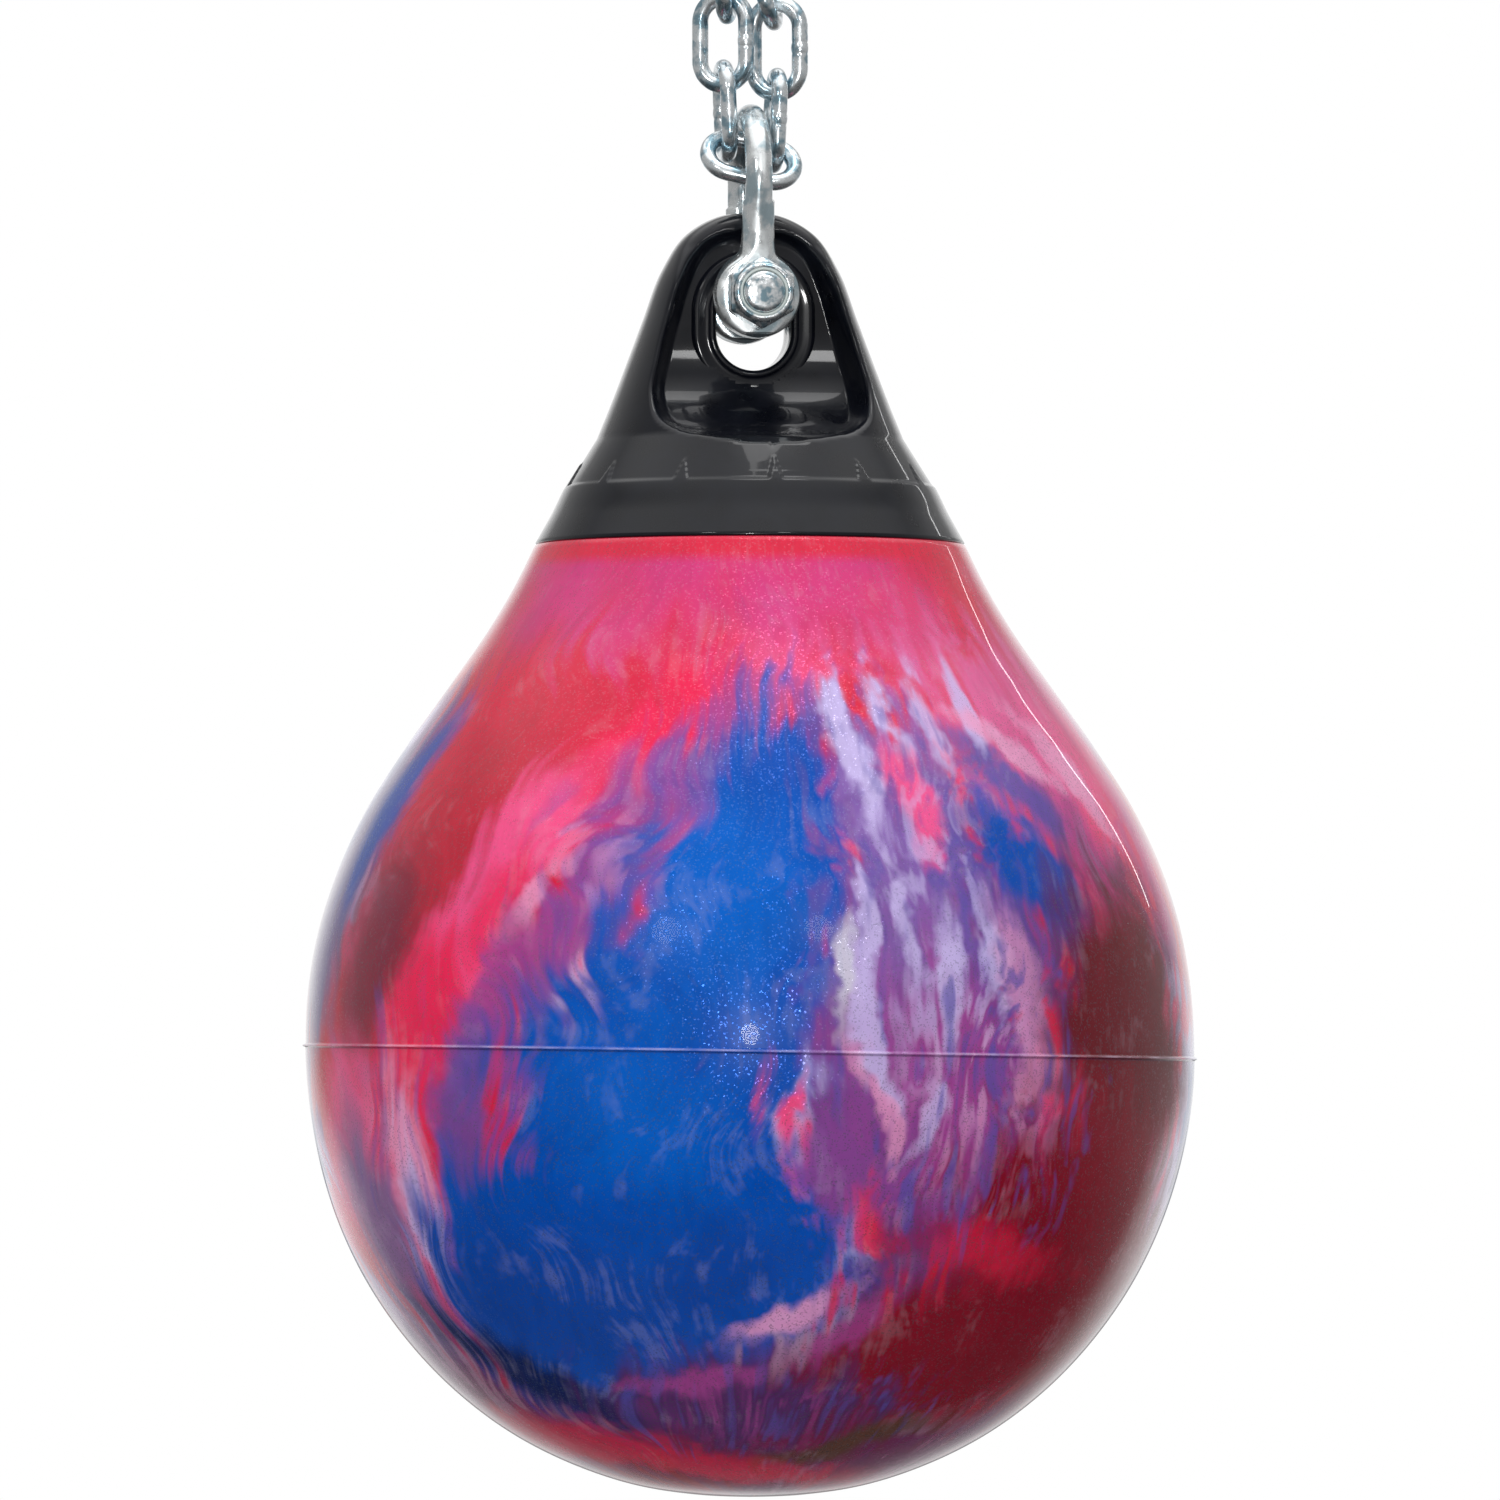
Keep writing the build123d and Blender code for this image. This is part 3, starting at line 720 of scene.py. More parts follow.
    @staticmethod
    def ground(t: Tree, place: Any, streaks: Any, height: Any) -> Any:
        """The clouds of red, blue and plum that go all round the bag under the strokes.

        Args:
            t: the material's tree.
            place: Object coordinates.
            streaks: the upright streaks.
            height: mm above the widest line.

        Returns:
            The ground colour.
        """
        swirl = t.noise(t.vector("MULTIPLY", place, (1.0, 1.0, 0.8)), 6.5, 5.0, 0.6)
        other = t.noise(t.vector("ADD", place, (5.0, 2.0, 8.0)), 7.5, 4.0, 0.6)
        mixed = t.sway(streaks, 0.16, swirl)
        blue = t.mix(t.remap(other, 0.4, 0.62), Pigment.BLUE.paint, Pigment.DEEP_BLUE.paint)
        red = t.mix(t.remap(other, 0.42, 0.6), Pigment.RED.paint, Pigment.HOT_PINK.paint)
        plum = t.mix(t.remap(other, 0.45, 0.55), Pigment.PLUM.paint, Pigment.LAVENDER.paint)
        ground = t.mix(t.remap(mixed, 0.40, 0.47), blue, plum)
        ground = t.mix(t.remap(mixed, 0.49, 0.56), ground, red)
        low = t.remap(height, -60.0, -150.0)
        return t.mix(t.math("MULTIPLY", low, 0.75), ground, Pigment.OXBLOOD.paint)

    def licked(self, t: Tree, painted: Any, place: Any, spot: Any) -> Any:
        """Flame-like licks of pale and dark pigment inside the mixed regions.

        Narrow upright streaks are compared with two levels: their crests take the region's pigment, their
        troughs a deep indigo. Each region is a stroke's mask.

        Args:
            t: the material's tree.
            painted: the colour so far.
            place: Object coordinates.
            spot: the pushed place.

        Returns:
            The colour with licks.
        """
        crests = use(t, self.effects.streaks, Place=place, Across=22.0, Along=20.0, Wander=0.3).outputs[0]
        pale = t.math("MULTIPLY", t.remap(crests, 0.50, 1.0), 0.8)
        dark = t.math("MULTIPLY", t.remap(crests, 0.46, 0.0), 0.7)
        for region in self.licks:
            mask = self.mask(t, spot, crests, region)
            painted = t.mix(t.math("MULTIPLY", mask, dark), painted, Pigment.INDIGO.paint)
            painted = t.mix(t.math("MULTIPLY", mask, pale), painted, region.pigment.paint)
        return painted

    @staticmethod
    def parting(t: Tree, painted: Any, place: Any, height: Any) -> Any:
        """The trimmed parting line: a pale painted highlight along its crest, with a dark painted shadow
        under it.

        Args:
            t: the material's tree.
            painted: the colour so far.
            place: Object coordinates.
            height: mm above the widest line.

        Returns:
            The colour with the line.
        """
        x, y, _ = t.split(place)
        north = t.math("MULTIPLY", y, math.sin(FRONT_TURN))
        sideways = t.math("MULTIPLY_ADD", x, math.cos(FRONT_TURN), north)
        off = t.math("MULTIPLY_ADD", sideways, math.tan(Bag.seam_tilt) / MM, height)
        patchy = t.remap(t.noise(place, 38.0, 3.0, 0.6), 0.38, 0.62, 0.25, 1.0)
        # painted highlight: a pale lavender line along the crest of the parting ridge, patchy along its run
        line = t.remap(t.math("ABSOLUTE", t.math("SUBTRACT", off, 0.15)), 0.62, 0.30)
        painted_crest_highlight = t.math("MULTIPLY", line, patchy)
        # painted shadow: a dark line just under the parting ridge
        under = t.remap(t.math("ABSOLUTE", t.math("ADD", off, 1.0)), 0.55, 0.15)
        shaded = t.mix(t.math("MULTIPLY", under, 0.36), painted, (0.02, 0.01, 0.06, 1.0))
        return t.mix(t.math("MULTIPLY", painted_crest_highlight, 0.32), shaded, (0.78, 0.66, 0.86, 1.0))

    @staticmethod
    def bands(t: Tree, painted: Any, place: Any, height: Any, streaks: Any) -> Any:
        """The magenta shoulder and the thin red line under the cap, which run all round.

        Args:
            t: the material's tree.
            painted: the colour so far.
            place: Object coordinates.
            height: mm above the widest line.
            streaks: the upright streaks.

        Returns:
            The banded colour.
        """
        ragged = t.sway(streaks, 34.0, height)
        drift = t.noise(t.vector("MULTIPLY", place, (1.0, 1.0, 0.5)), 9.0, 3.0, 0.55)
        rosy = t.mix(t.remap(drift, 0.40, 0.62), Pigment.THIN_RED.paint, Pigment.ROSE.paint)
        painted = t.mix(t.remap(ragged, 150.0, 186.0), painted, rosy)
        return t.mix(t.remap(height, 205.0, 212.0), painted, Pigment.THIN_RED.paint)

    @staticmethod
    def clouds(t: Tree, painted: Any, place: Any, fine: Any) -> Any:
        """Small shifts of depth inside each colour, cloudy and streaked.

        Args:
            t: the material's tree.
            painted: the colour so far.
            place: Object coordinates.
            fine: the fine streaks.

        Returns:
            The colour with its depth varied.
        """
        cloud = t.noise(place, 30.0, 4.0, 0.6)
        darker = t.math("MULTIPLY", t.remap(t.math("MULTIPLY_ADD", fine, 0.25, cloud), 0.52, 0.86), 0.30)
        lighter = t.math("MULTIPLY", t.remap(t.math("MULTIPLY_ADD", fine, -0.2, cloud), 0.36, 0.16), 0.16)
        deep = t.add("ShaderNodeHueSaturation", {"Value": 0.62, "Color": painted}).outputs[0]
        milky = t.mix(0.45, painted, (0.80, 0.72, 0.86, 1.0))
        return t.mix(lighter, t.mix(darker, painted, deep), milky)

    def flakes(self, t: Tree, place: Any) -> tuple[Any, Any]:
        """Metal flakes: a share of the cells shine, each tilted its own way.

        Args:
            t: the material's tree.
            place: Object coordinates.

        Returns:
            The flakes' mask and the tilted normal.
        """
        cells = t.add("ShaderNodeTexVoronoi", {"Vector": place, "Scale": self.flake_scale, "Randomness": 1.0})
        red, green, blue = t.split(cells.outputs["Color"])
        mask = t.math("GREATER_THAN", red, self.flake_rarity)
        normal = t.add("ShaderNodeNewGeometry", {}).outputs["Normal"]
        own_way = t.pack(t.math("FRACT", t.math("MULTIPLY", red, 43.0)), green, blue)
        lean = t.vector("MULTIPLY", t.vector("SUBTRACT", own_way, (0.5, 0.5, 0.5)), (self.flake_lean,) * 3)
        lean = t.vector("MULTIPLY", lean, t.pack(mask, mask, mask))
        return mask, t.vector("NORMALIZE", t.vector("ADD", normal, lean))


@dataclass(frozen=True)
class MouldedPlastic:
    """Black vinyl, plastic, rubber or nylon: a deep colour with moulded grain and faint handling marks."""

    effects: Effects
    name: str
    base: tuple[int, int, int]
    pale: tuple[int, int, int]
    roughness: float
    shine: float
    coat: float
    ripple: float
    relief: float
    marks: float

    def make(self) -> bpy.types.Material:
        """Build the material."""
        fixed = {"Coat Roughness": 0.05, "Specular IOR Level": self.shine}
        material, t, shader = new_material(self.name, fixed)
        place = t.place()
        facing = t.add("ShaderNodeLayerWeight", {}).outputs["Facing"]
        t.feed(shader, "Coat Weight", t.remap(facing, 0.1, 0.8, self.coat, min(1.0, self.coat * 2.5)))
        grain = use(t, self.effects.grain, Place=place, Ripple=self.ripple, Waves=70.0)
        marks = use(t, self.effects.handling, Place=place, Scale=55.0, Amount=self.marks).outputs[0]
        patches = grain.outputs["Patches"]
        tone = t.mix(t.math("MULTIPLY", patches, 0.35), colour(*self.base), colour(*self.pale))
        t.feed(shader, "Base Color", t.mix(marks, tone, (0.30, 0.30, 0.31, 1.0)))
        rough = t.math("MULTIPLY_ADD", patches, 0.10, self.roughness)
        t.feed(shader, "Roughness", t.math("MULTIPLY_ADD", marks, 0.3, rough))
        bumped(t, shader, grain.outputs["Height"], 0.5, self.relief)
        return material


@dataclass(frozen=True)
class ZincPlate:
    """Bright zinc over forged, rolled or welded steel."""

    effects: Effects
    name: str
    bright: tuple[int, int, int]
    tint: tuple[int, int, int]
    scale: float
    bloom: float
    relief: float

    def make(self) -> bpy.types.Material:
        """Build the material."""
        material, t, shader = new_material(self.name, {"Metallic": 0.88, "Specular IOR Level": 0.8})
        plate = use(
            t, self.effects.plating, Place=t.place(), Bright=colour(*self.bright), Tint=colour(*self.tint),
            Scale=self.scale, Bloom=self.bloom,
        )
        t.feed(shader, "Base Color", plate.outputs["Colour"])
        t.feed(shader, "Roughness", plate.outputs["Roughness"])
        bumped(t, shader, plate.outputs["Height"], 0.6, self.relief)
        return material


@dataclass(frozen=True)
class Water:
    """The clear filling, slightly clouded."""

    effects: Effects

    def make(self) -> bpy.types.Material:
        """Build the material."""
        fixed = {"Transmission Weight": 1.0, "IOR": 1.333, "Metallic": 0.0}
        material, t, shader = new_material("water", fixed)
        patches = use(t, self.effects.grain, Place=t.place(), Ripple=120.0, Waves=12.0).outputs["Patches"]
        t.feed(shader, "Base Color", t.mix(patches, (0.80, 0.92, 0.96, 1), (0.88, 0.96, 0.98, 1)))
        t.feed(shader, "Roughness", t.math("MULTIPLY", patches, 0.05))
        return material


@dataclass(frozen=True)
class Finishes:
    """Every finish by its slot in the record."""

    materials: dict[str, bpy.types.Material]

    def dress(self, piece: bpy.types.Object, slot: str) -> None:
        """Give a new piece the finish of the slot it comes from."""
        piece.data.materials.clear()
        piece.data.materials.append(self.materials[slot])

    def dress_nodes(self) -> None:
        """Give every carried-over node the finish of its slot."""
        for part in frame["record"]["subparts"]:
            for holder in frame["nodes"][part["node"]].material_slots:
                holder.material = self.materials[part["material_slot"]]


# ---------------------------------------------------------------- the bag
# pigment, degrees around, height, half width, half height, lean, softness, feather, strength
STROKES: tuple[Stroke, ...] = (
    Stroke(Pigment.RED, -37, 108, 89, 86, 22, 0.35, 0.3, 1.0),
    Stroke(Pigment.RED, -21, 155, 55, 26, 0, 0.4, 0.4, 0.9),
    Stroke(Pigment.DEEP_RED, -47, 78, 44, 56, 20, 0.5, 0.4, 0.8),
    Stroke(Pigment.SLATE, -75, 65, 29, 75, 12, 0.4, 0.5, 1.0),
    Stroke(Pigment.BLUE, -66, 108, 14, 41, 17, 0.5, 0.6, 0.9),
    Stroke(Pigment.WINE, -58, 37, 26, 45, 12, 0.6, 0.4, 0.9),
    Stroke(Pigment.HOT_PINK, 11, 163, 24, 15, -10, 0.6, 0.5, 0.8),
    Stroke(Pigment.CRIMSON, -9, 140, 24, 24, 50, 0.4, 0.6, 0.9),
    Stroke(Pigment.CRIMSON, -21, 110, 19, 37, 40, 0.4, 0.5, 0.9),
    Stroke(Pigment.HOT_PINK, -32, 87, 21, 37, 38, 0.4, 0.5, 0.9),
    Stroke(Pigment.HOT_PINK, -40, 44, 21, 43, 28, 0.4, 0.5, 1.0),
    Stroke(Pigment.CRIMSON, -36, 55, 14, 30, 30, 0.5, 0.6, 0.8),
    Stroke(Pigment.CRIMSON, -47, 1, 25, 43, 12, 0.4, 0.5, 1.0),
    Stroke(Pigment.HOT_PINK, -63, -38, 25, 41, 0, 0.5, 0.6, 0.9),
    Stroke(Pigment.PURPLE, -3, 136, 18, 21, 40, 0.4, 0.9, 0.9),
    Stroke(Pigment.INDIGO, -8, 112, 16, 27, 35, 0.4, 1.0, 0.9),
    Stroke(Pigment.PURPLE, -17, 87, 20, 37, 28, 0.4, 1.0, 0.9),
    Stroke(Pigment.INDIGO, -20, 65, 12, 32, 20, 0.4, 1.0, 0.8),
    Stroke(Pigment.PURPLE, -26, 42, 17, 34, 18, 0.4, 1.0, 0.9),
    Stroke(Pigment.PALE_PINK, -29, 65, 6, 21, 24, 0.5, 1.0, 0.7),
    Stroke(Pigment.PURPLE, -34, 14, 16, 39, 14, 0.4, 1.0, 0.8),
    Stroke(Pigment.INDIGO, -40, -29, 15, 39, 6, 0.5, 0.9, 0.8),
    Stroke(Pigment.PALE_PINK, -50, -55, 12, 47, -4, 0.5, 0.7, 0.9),
    Stroke(Pigment.SLATE, -61, -76, 23, 43, -12, 0.5, 0.7, 0.9),
    Stroke(Pigment.LAVENDER, -50, -81, 5, 30, -8, 0.5, 0.9, 0.8),
    Stroke(Pigment.BLUE, 4, 87, 29, 62, 3, 0.25, 0.6, 1.0),
    Stroke(Pigment.BLUE, -3, 35, 54, 56, 10, 0.25, 0.6, 1.0),
    Stroke(Pigment.BLUE, -15, -29, 67, 56, 30, 0.25, 0.6, 1.0),
    Stroke(Pigment.BLUE, -24, -85, 75, 52, 8, 0.25, 0.6, 1.0),
    Stroke(Pigment.BLUE, -3, -68, 54, 52, 0, 0.25, 0.6, 1.0),
    Stroke(Pigment.BLUE, -33, -111, 57, 41, 20, 0.3, 0.5, 1.0),
    Stroke(Pigment.BRIGHT_BLUE, -4, 65, 39, 39, 10, 0.7, 0.6, 0.5),
    Stroke(Pigment.BRIGHT_BLUE, -15, -21, 40, 30, 30, 0.7, 0.6, 0.4),
    Stroke(Pigment.DEEP_BLUE, -31, -107, 55, 30, 10, 0.7, 0.6, 0.6),
    Stroke(Pigment.DEEP_BLUE, -4, -92, 30, 17, -20, 0.7, 0.8, 0.6),
    Stroke(Pigment.NAVY, -42, -137, 52, 11, 30, 0.6, 0.6, 0.9),
    Stroke(Pigment.PLUM, 25, 35, 47, 99, -6, 0.25, 0.7, 1.0),
    Stroke(Pigment.PLUM, 29, -34, 52, 56, -8, 0.3, 0.7, 1.0),
    Stroke(Pigment.PLUM, 12, -38, 15, 21, -20, 0.4, 0.9, 0.9),
    Stroke(Pigment.VIOLET, 22, 70, 28, 69, -6, 0.4, 1.2, 0.8),
    Stroke(Pigment.PURPLE, 27, -12, 29, 52, -10, 0.5, 1.2, 0.7),
    Stroke(Pigment.INDIGO, 36, 57, 27, 47, -10, 0.5, 1.2, 0.7),
    Stroke(Pigment.MAUVE_PINK, 61, 151, 76, 43, -32, 0.4, 0.6, 1.0),
    Stroke(Pigment.MAUVE_PINK, 34, 173, 47, 19, 0, 0.5, 0.6, 0.9),
    Stroke(Pigment.HOT_PINK, 69, 100, 29, 52, -24, 0.5, 0.5, 0.7),
    Stroke(Pigment.PURPLE, 55, 82, 20, 39, -30, 0.5, 0.7, 0.7),
    Stroke(Pigment.INDIGO, 43, 112, 11, 32, -50, 0.5, 0.6, 0.9),
    Stroke(Pigment.BLUE, 43, 77, 14, 38, -50, 0.4, 0.6, 1.0),
    Stroke(Pigment.LAVENDER, 16, 125, 6, 27, -4, 0.5, 0.9, 1.0),
    Stroke(Pigment.LAVENDER, 23, 136, 4, 20, -6, 0.5, 1.0, 0.9),
    Stroke(Pigment.HOT_PINK, 23, 102, 8, 20, -6, 0.5, 0.8, 0.9),
    Stroke(Pigment.LAVENDER, 31, 138, 5, 21, -4, 0.5, 1.0, 0.8),
    Stroke(Pigment.LAVENDER, 40, 145, 5, 18, 4, 0.5, 0.9, 0.8),
    Stroke(Pigment.PALE_PINK, 47, 129, 6, 27, -58, 0.5, 0.7, 0.9),
    Stroke(Pigment.PALE_PINK, 60, 119, 7, 30, -34, 0.5, 0.6, 0.8),
    Stroke(Pigment.MIST, 12, 31, 3, 22, -10, 0.7, 1.0, 0.6),
    Stroke(Pigment.LAVENDER, 14, 52, 4, 26, -4, 0.5, 1.0, 0.9),
    Stroke(Pigment.LAVENDER, 16, 1, 4, 23, -14, 0.5, 1.0, 0.8),
    Stroke(Pigment.LAVENDER, 20, 52, 4, 25, -6, 0.5, 1.0, 0.8),
    Stroke(Pigment.LAVENDER, 26, 29, 5, 24, 0, 0.5, 1.0, 0.8),
    Stroke(Pigment.LAVENDER, 33, 39, 5, 22, -10, 0.5, 1.0, 0.7),
    Stroke(Pigment.PALE_PINK, 38, 22, 10, 39, -16, 0.6, 1.0, 0.6),
    Stroke(Pigment.PALE_PINK, 17, -29, 4, 22, -18, 0.5, 1.0, 0.7),
    Stroke(Pigment.LAVENDER, 22, -25, 4, 21, 14, 0.5, 0.9, 0.7),
    Stroke(Pigment.MAROON, 58, 1, 50, 77, -4, 0.4, 0.4, 1.0),
    Stroke(Pigment.OXBLOOD, 55, -81, 85, 60, 24, 0.35, 0.5, 1.0),
    Stroke(Pigment.OXBLOOD, 35, -128, 90, 32, -14, 0.35, 0.6, 1.0),
    Stroke(Pigment.RED, 35, -83, 37, 11, 8, 0.7, 0.8, 0.7),
    Stroke(Pigment.AUBERGINE, -1, -143, 60, 18, 2, 0.4, 0.9, 1.0),
    Stroke(Pigment.AUBERGINE, 22, -81, 19, 17, 0, 0.6, 0.9, 0.6),
    Stroke(Pigment.PURPLE, -9, -133, 30, 5, -8, 0.6, 1.0, 0.8),
    Stroke(Pigment.PALE_PINK, 6, -107, 19, 4, -22, 0.6, 1.0, 0.8),
    Stroke(Pigment.PURPLE, 15, -115, 20, 6, -26, 0.6, 1.0, 0.7),
    Stroke(Pigment.RED, -32, -169, 86, 9, 8, 0.5, 0.5, 0.75),
    Stroke(Pigment.OLIVE, 28, -162, 30, 6, -10, 0.6, 0.7, 0.8),
)

LICKS: tuple[Stroke, ...] = (
    Stroke(Pigment.LAVENDER, 25, 45, 46, 92, -6, 0.25, 0.9, 0.75),
    Stroke(Pigment.PALE_PINK, 32, -22, 46, 46, -8, 0.35, 0.9, 0.6),
    Stroke(Pigment.PALE_PINK, -24, 72, 20, 62, 30, 0.35, 0.9, 0.55),
    Stroke(Pigment.LAVENDER, -52, -50, 26, 60, -4, 0.35, 0.9, 0.6),
    Stroke(Pigment.PURPLE, 2, -146, 60, 18, 0, 0.4, 0.9, 0.7),
    Stroke(Pigment.LAVENDER, 120, 30, 70, 110, 8, 0.3, 1.0, 0.7),
    Stroke(Pigment.PALE_PINK, 176, 60, 80, 80, -8, 0.3, 1.0, 0.7),
    Stroke(Pigment.LAVENDER, -128, -20, 80, 100, 6, 0.3, 1.0, 0.7),
)


@dataclass
class Bag:
    """The teardrop body: one closed skin with the mould's parting line around its waist."""

    finishes: Finishes
    outline: Profile = (
        (0.0, -BAG_DEPTH), (24.0, -189.8), (48.5, -186.0), (76.0, -177.0), (100.9, -164.5), (127.0, -145.0),
        (149.0, -121.5), (165.5, -97.0), (178.0, -70.0), (187.3, -36.0), (190.7, 0.0), (189.2, 28.8),
        (185.5, 50.3), (177.2, 77.0), (164.7, 103.9), (147.6, 131.0), (128.6, 157.6), (113.2, 179.6),
        (100.7, 200.6), (92.4, 217.4),
    )
    neck: Profile = (
        (90.0, 218.2), (87.2, 219.0), (71.0, 245.4), (60.0, 250.0), (30.0, 253.0), (1.0, 253.6),
    )
    seam_proud: float = 1.5
    seam_half: float = 0.62
    seam_tilt: float = math.radians(0.9)
    seam_reach: float = 42.0        # how far above and below the line the tilt is felt
    mould_step: float = 0.22        # the lower half stands out by this much under the line
    mould_reach: float = 26.0
    rows: int = 236
    columns: int = 352

    def skin(self) -> np.ndarray:
        """The skin's grid: the outline turned about the axis, plus the parting line's ridge.

        Rows are set closely at the parting line. Around the waist each row is lowered by x times the tilt's
        tangent, fading with the square of the distance, and the ridge adds its height times
        exp(-(distance / half width)^4), uneven along its run as trimmed flash is.

        Returns:
            rows x columns x 3 grid.
        """
        line = curve_through(self.outline, 1200)
        length = np.concatenate([[0.0], np.cumsum(np.hypot(*np.diff(line, axis=0).T))])
        waist = np.interp(0.0, line[:, 1], length)
        even = np.linspace(0.8, length[-1], self.rows)
        close = waist + np.concatenate([np.linspace(-1.6, 1.6, 17), [-2.4, 2.4]])
        stops = np.sort(np.concatenate([even[np.abs(even - waist) > 2.2], close]))
        profile = np.stack([np.interp(stops, length, line[:, 0]), np.interp(stops, length, line[:, 1])], 1)
        distance = np.concatenate([stops - waist, np.full(len(self.neck), FAR_OFF)])[:, None]
        grid = lathe(np.concatenate([profile, np.array(self.neck)]), self.columns)
        x, y, z = np.moveaxis(grid, -1, 0)
        around = np.arctan2(x, -y)
        unevenness = lattice_noise(np.sin(around) * 9 + 40, np.cos(around) * 9 + 40, 0 * around)
        trimmed = 0.72 + 0.5 * (unevenness - 0.4)
        ridge = self.seam_proud * trimmed * np.exp(-((distance / self.seam_half) ** 4))
        below = smooth_step(-0.3, 0.3, -distance)
        step = self.mould_step * below * np.exp(-((distance / self.mould_reach) ** 2))
        radius = np.hypot(x, y)
        out = (radius + ridge + step) / radius
        lowered = z - x * math.tan(self.seam_tilt) * np.exp(-((distance / self.seam_reach) ** 2))
        return turned(np.stack([x * out, y * out, lowered], -1))

    def build(self) -> bpy.types.Object:
        """Make the skin and set it on the bag's body in place of the shell."""
        piece = surface("bag_skin", self.skin(), Closing(poles=True))
        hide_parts("bag_shell")
        self.finishes.dress(piece, "marbled_vinyl")
        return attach(piece, "bag")


# ---------------------------------------------------------------- the eye cap
@dataclass
class EyeCap:
    """The black moulded cap: toothed skirt, thinned eye with a pocket on each side, and collared throat."""

    finishes: Finishes
    skirt: Profile = ((92.2, 218.4), (78.6, 242.7), (65.9, 262.9))
    rise: Profile = (
        (65.9, 262.9), (59.9, 277.6), (53.7, 293.8), (46.0, 314.4), (38.2, 335.0), (27.9, 350.5),
        (15.0, 358.2), (0.6, 360.8),
    )
    inside: Profile = (
        (1.0, 254.2), (40.0, 252.8), (62.0, 250.2), (71.6, 246.2), (88.3, 218.6), (88.6, 217.9),
        (91.6, 217.8),
    )
    slab: Profile = ((217.8, 104.0), (250.0, 80.0), (262.9, 68.5), (345.0, 16.0), (361.0, 12.5))
    slab_start: float = 246.0       # below this height the skirt stays round
    web: Profile = (
        (10.0, 340.0), (10.0, 318.0), (10.6, 300.0), (16.0, 283.0), (32.0, 269.0), (62.0, 261.0),
    )
    window: Profile = (
        (0.0, 352.2), (15.0, 349.6), (26.0, 341.0), (33.0, 327.0), (37.5, 312.0), (41.6, 296.0),
        (44.7, 281.0), (43.0, 270.0), (34.0, 263.0), (18.0, 259.8), (0.0, 259.0),
    )
    window_sides: float = 0.68      # the share of the window's outline above its lower corners
    line_height: float = 242.7
    line_radius: float = 78.0
    line_step: float = 0.75
    tooth_height: float = 9.5
    tooth_half: float = 3.1
    teeth: int = 12
    collar_section: Profile = (
        (16.1, 0.0), (16.1, 9.0), (16.3, 11.4), (17.0, 12.5), (18.0, 12.8), (18.9, 12.5), (19.4, 11.9),
        (20.2, 11.7), (22.6, 11.8), (23.9, 12.0), (25.0, 11.9), (26.0, 11.2), (26.6, 10.2), (27.4, 9.2),
        (27.4, 4.0),
    )
    throat: tuple[float, float] = (308.2, 317.1)
    opening_reach: float = 22.0     # the shell is open this far round the throat, under the collar
    opening_floor: float = 280.0
    columns: int = 640

    def slot_distance(self, x: np.ndarray, z: np.ndarray) -> np.ndarray:
        """Distance from the upright line between the throat's two centres."""
        return np.hypot(x, z - np.clip(z, *self.throat))

    def toothed_step(self, around: np.ndarray, z: np.ndarray) -> np.ndarray:
        """How far the skirt stands out below the toothed line.

        The line is level, with a pointed tooth at each twelfth of a turn; the step is full just below it and
        dies away over the next centimetre.

        Args:
            around: angle from the front, radians.
            z: height, mm.

        Returns:
            Millimetres outwards.
        """
        pitch = FULL_TURN / self.teeth
        from_tooth = np.abs((around + pitch / 2) % pitch - pitch / 2) * self.line_radius
        line = self.line_height + self.tooth_height * np.clip(1 - from_tooth / self.tooth_half, 0, 1)
        below = smooth_step(-0.9, 0.9, line - z)
        return self.line_step * below * smooth_step(self.line_height - 13.0, self.line_height - 1.0, z)

    def faces(self, x: np.ndarray, z: np.ndarray, round_depth: np.ndarray) -> np.ndarray:
        """Half thickness of the cap at a place seen from the front.

        The round body is thinned to a slab that grows downwards. Inside the pocket's outline it is cut back
        to the web, whose floor sweeps out at the bottom like a bowl; the lip between is rounded.

        Args:
            x: sideways, mm.
            z: height, mm.
            round_depth: half thickness of the round body there.

        Returns:
            Half thickness, mm.
        """
        outer = soft_min(round_depth, np.interp(z, *np.array(self.slab).T), 8.0)
        web = curve_through(self.web, 160)[::-1]
        floor = np.interp(z, web[:, 1], web[:, 0])
        window = curve_through(self.window, 200)
        corner = int(len(window) * self.window_sides)
        sides, sill = window[:corner][::-1], window[corner:][::-1]
        half = np.where(
            z > sill[-1, 1], np.interp(z, sides[:, 1], sides[:, 0]), np.interp(z, sill[:, 1], sill[:, 0])
        )
        inside = soft_min(soft_min(half - np.abs(x), (352.2 - z) * 0.9, 6.0), (z - 258.0) * 1.1, 8.0)
        cut = smooth_step(-4.0, 5.6, inside)
        return outer - cut * np.maximum(outer - floor, 0.0)

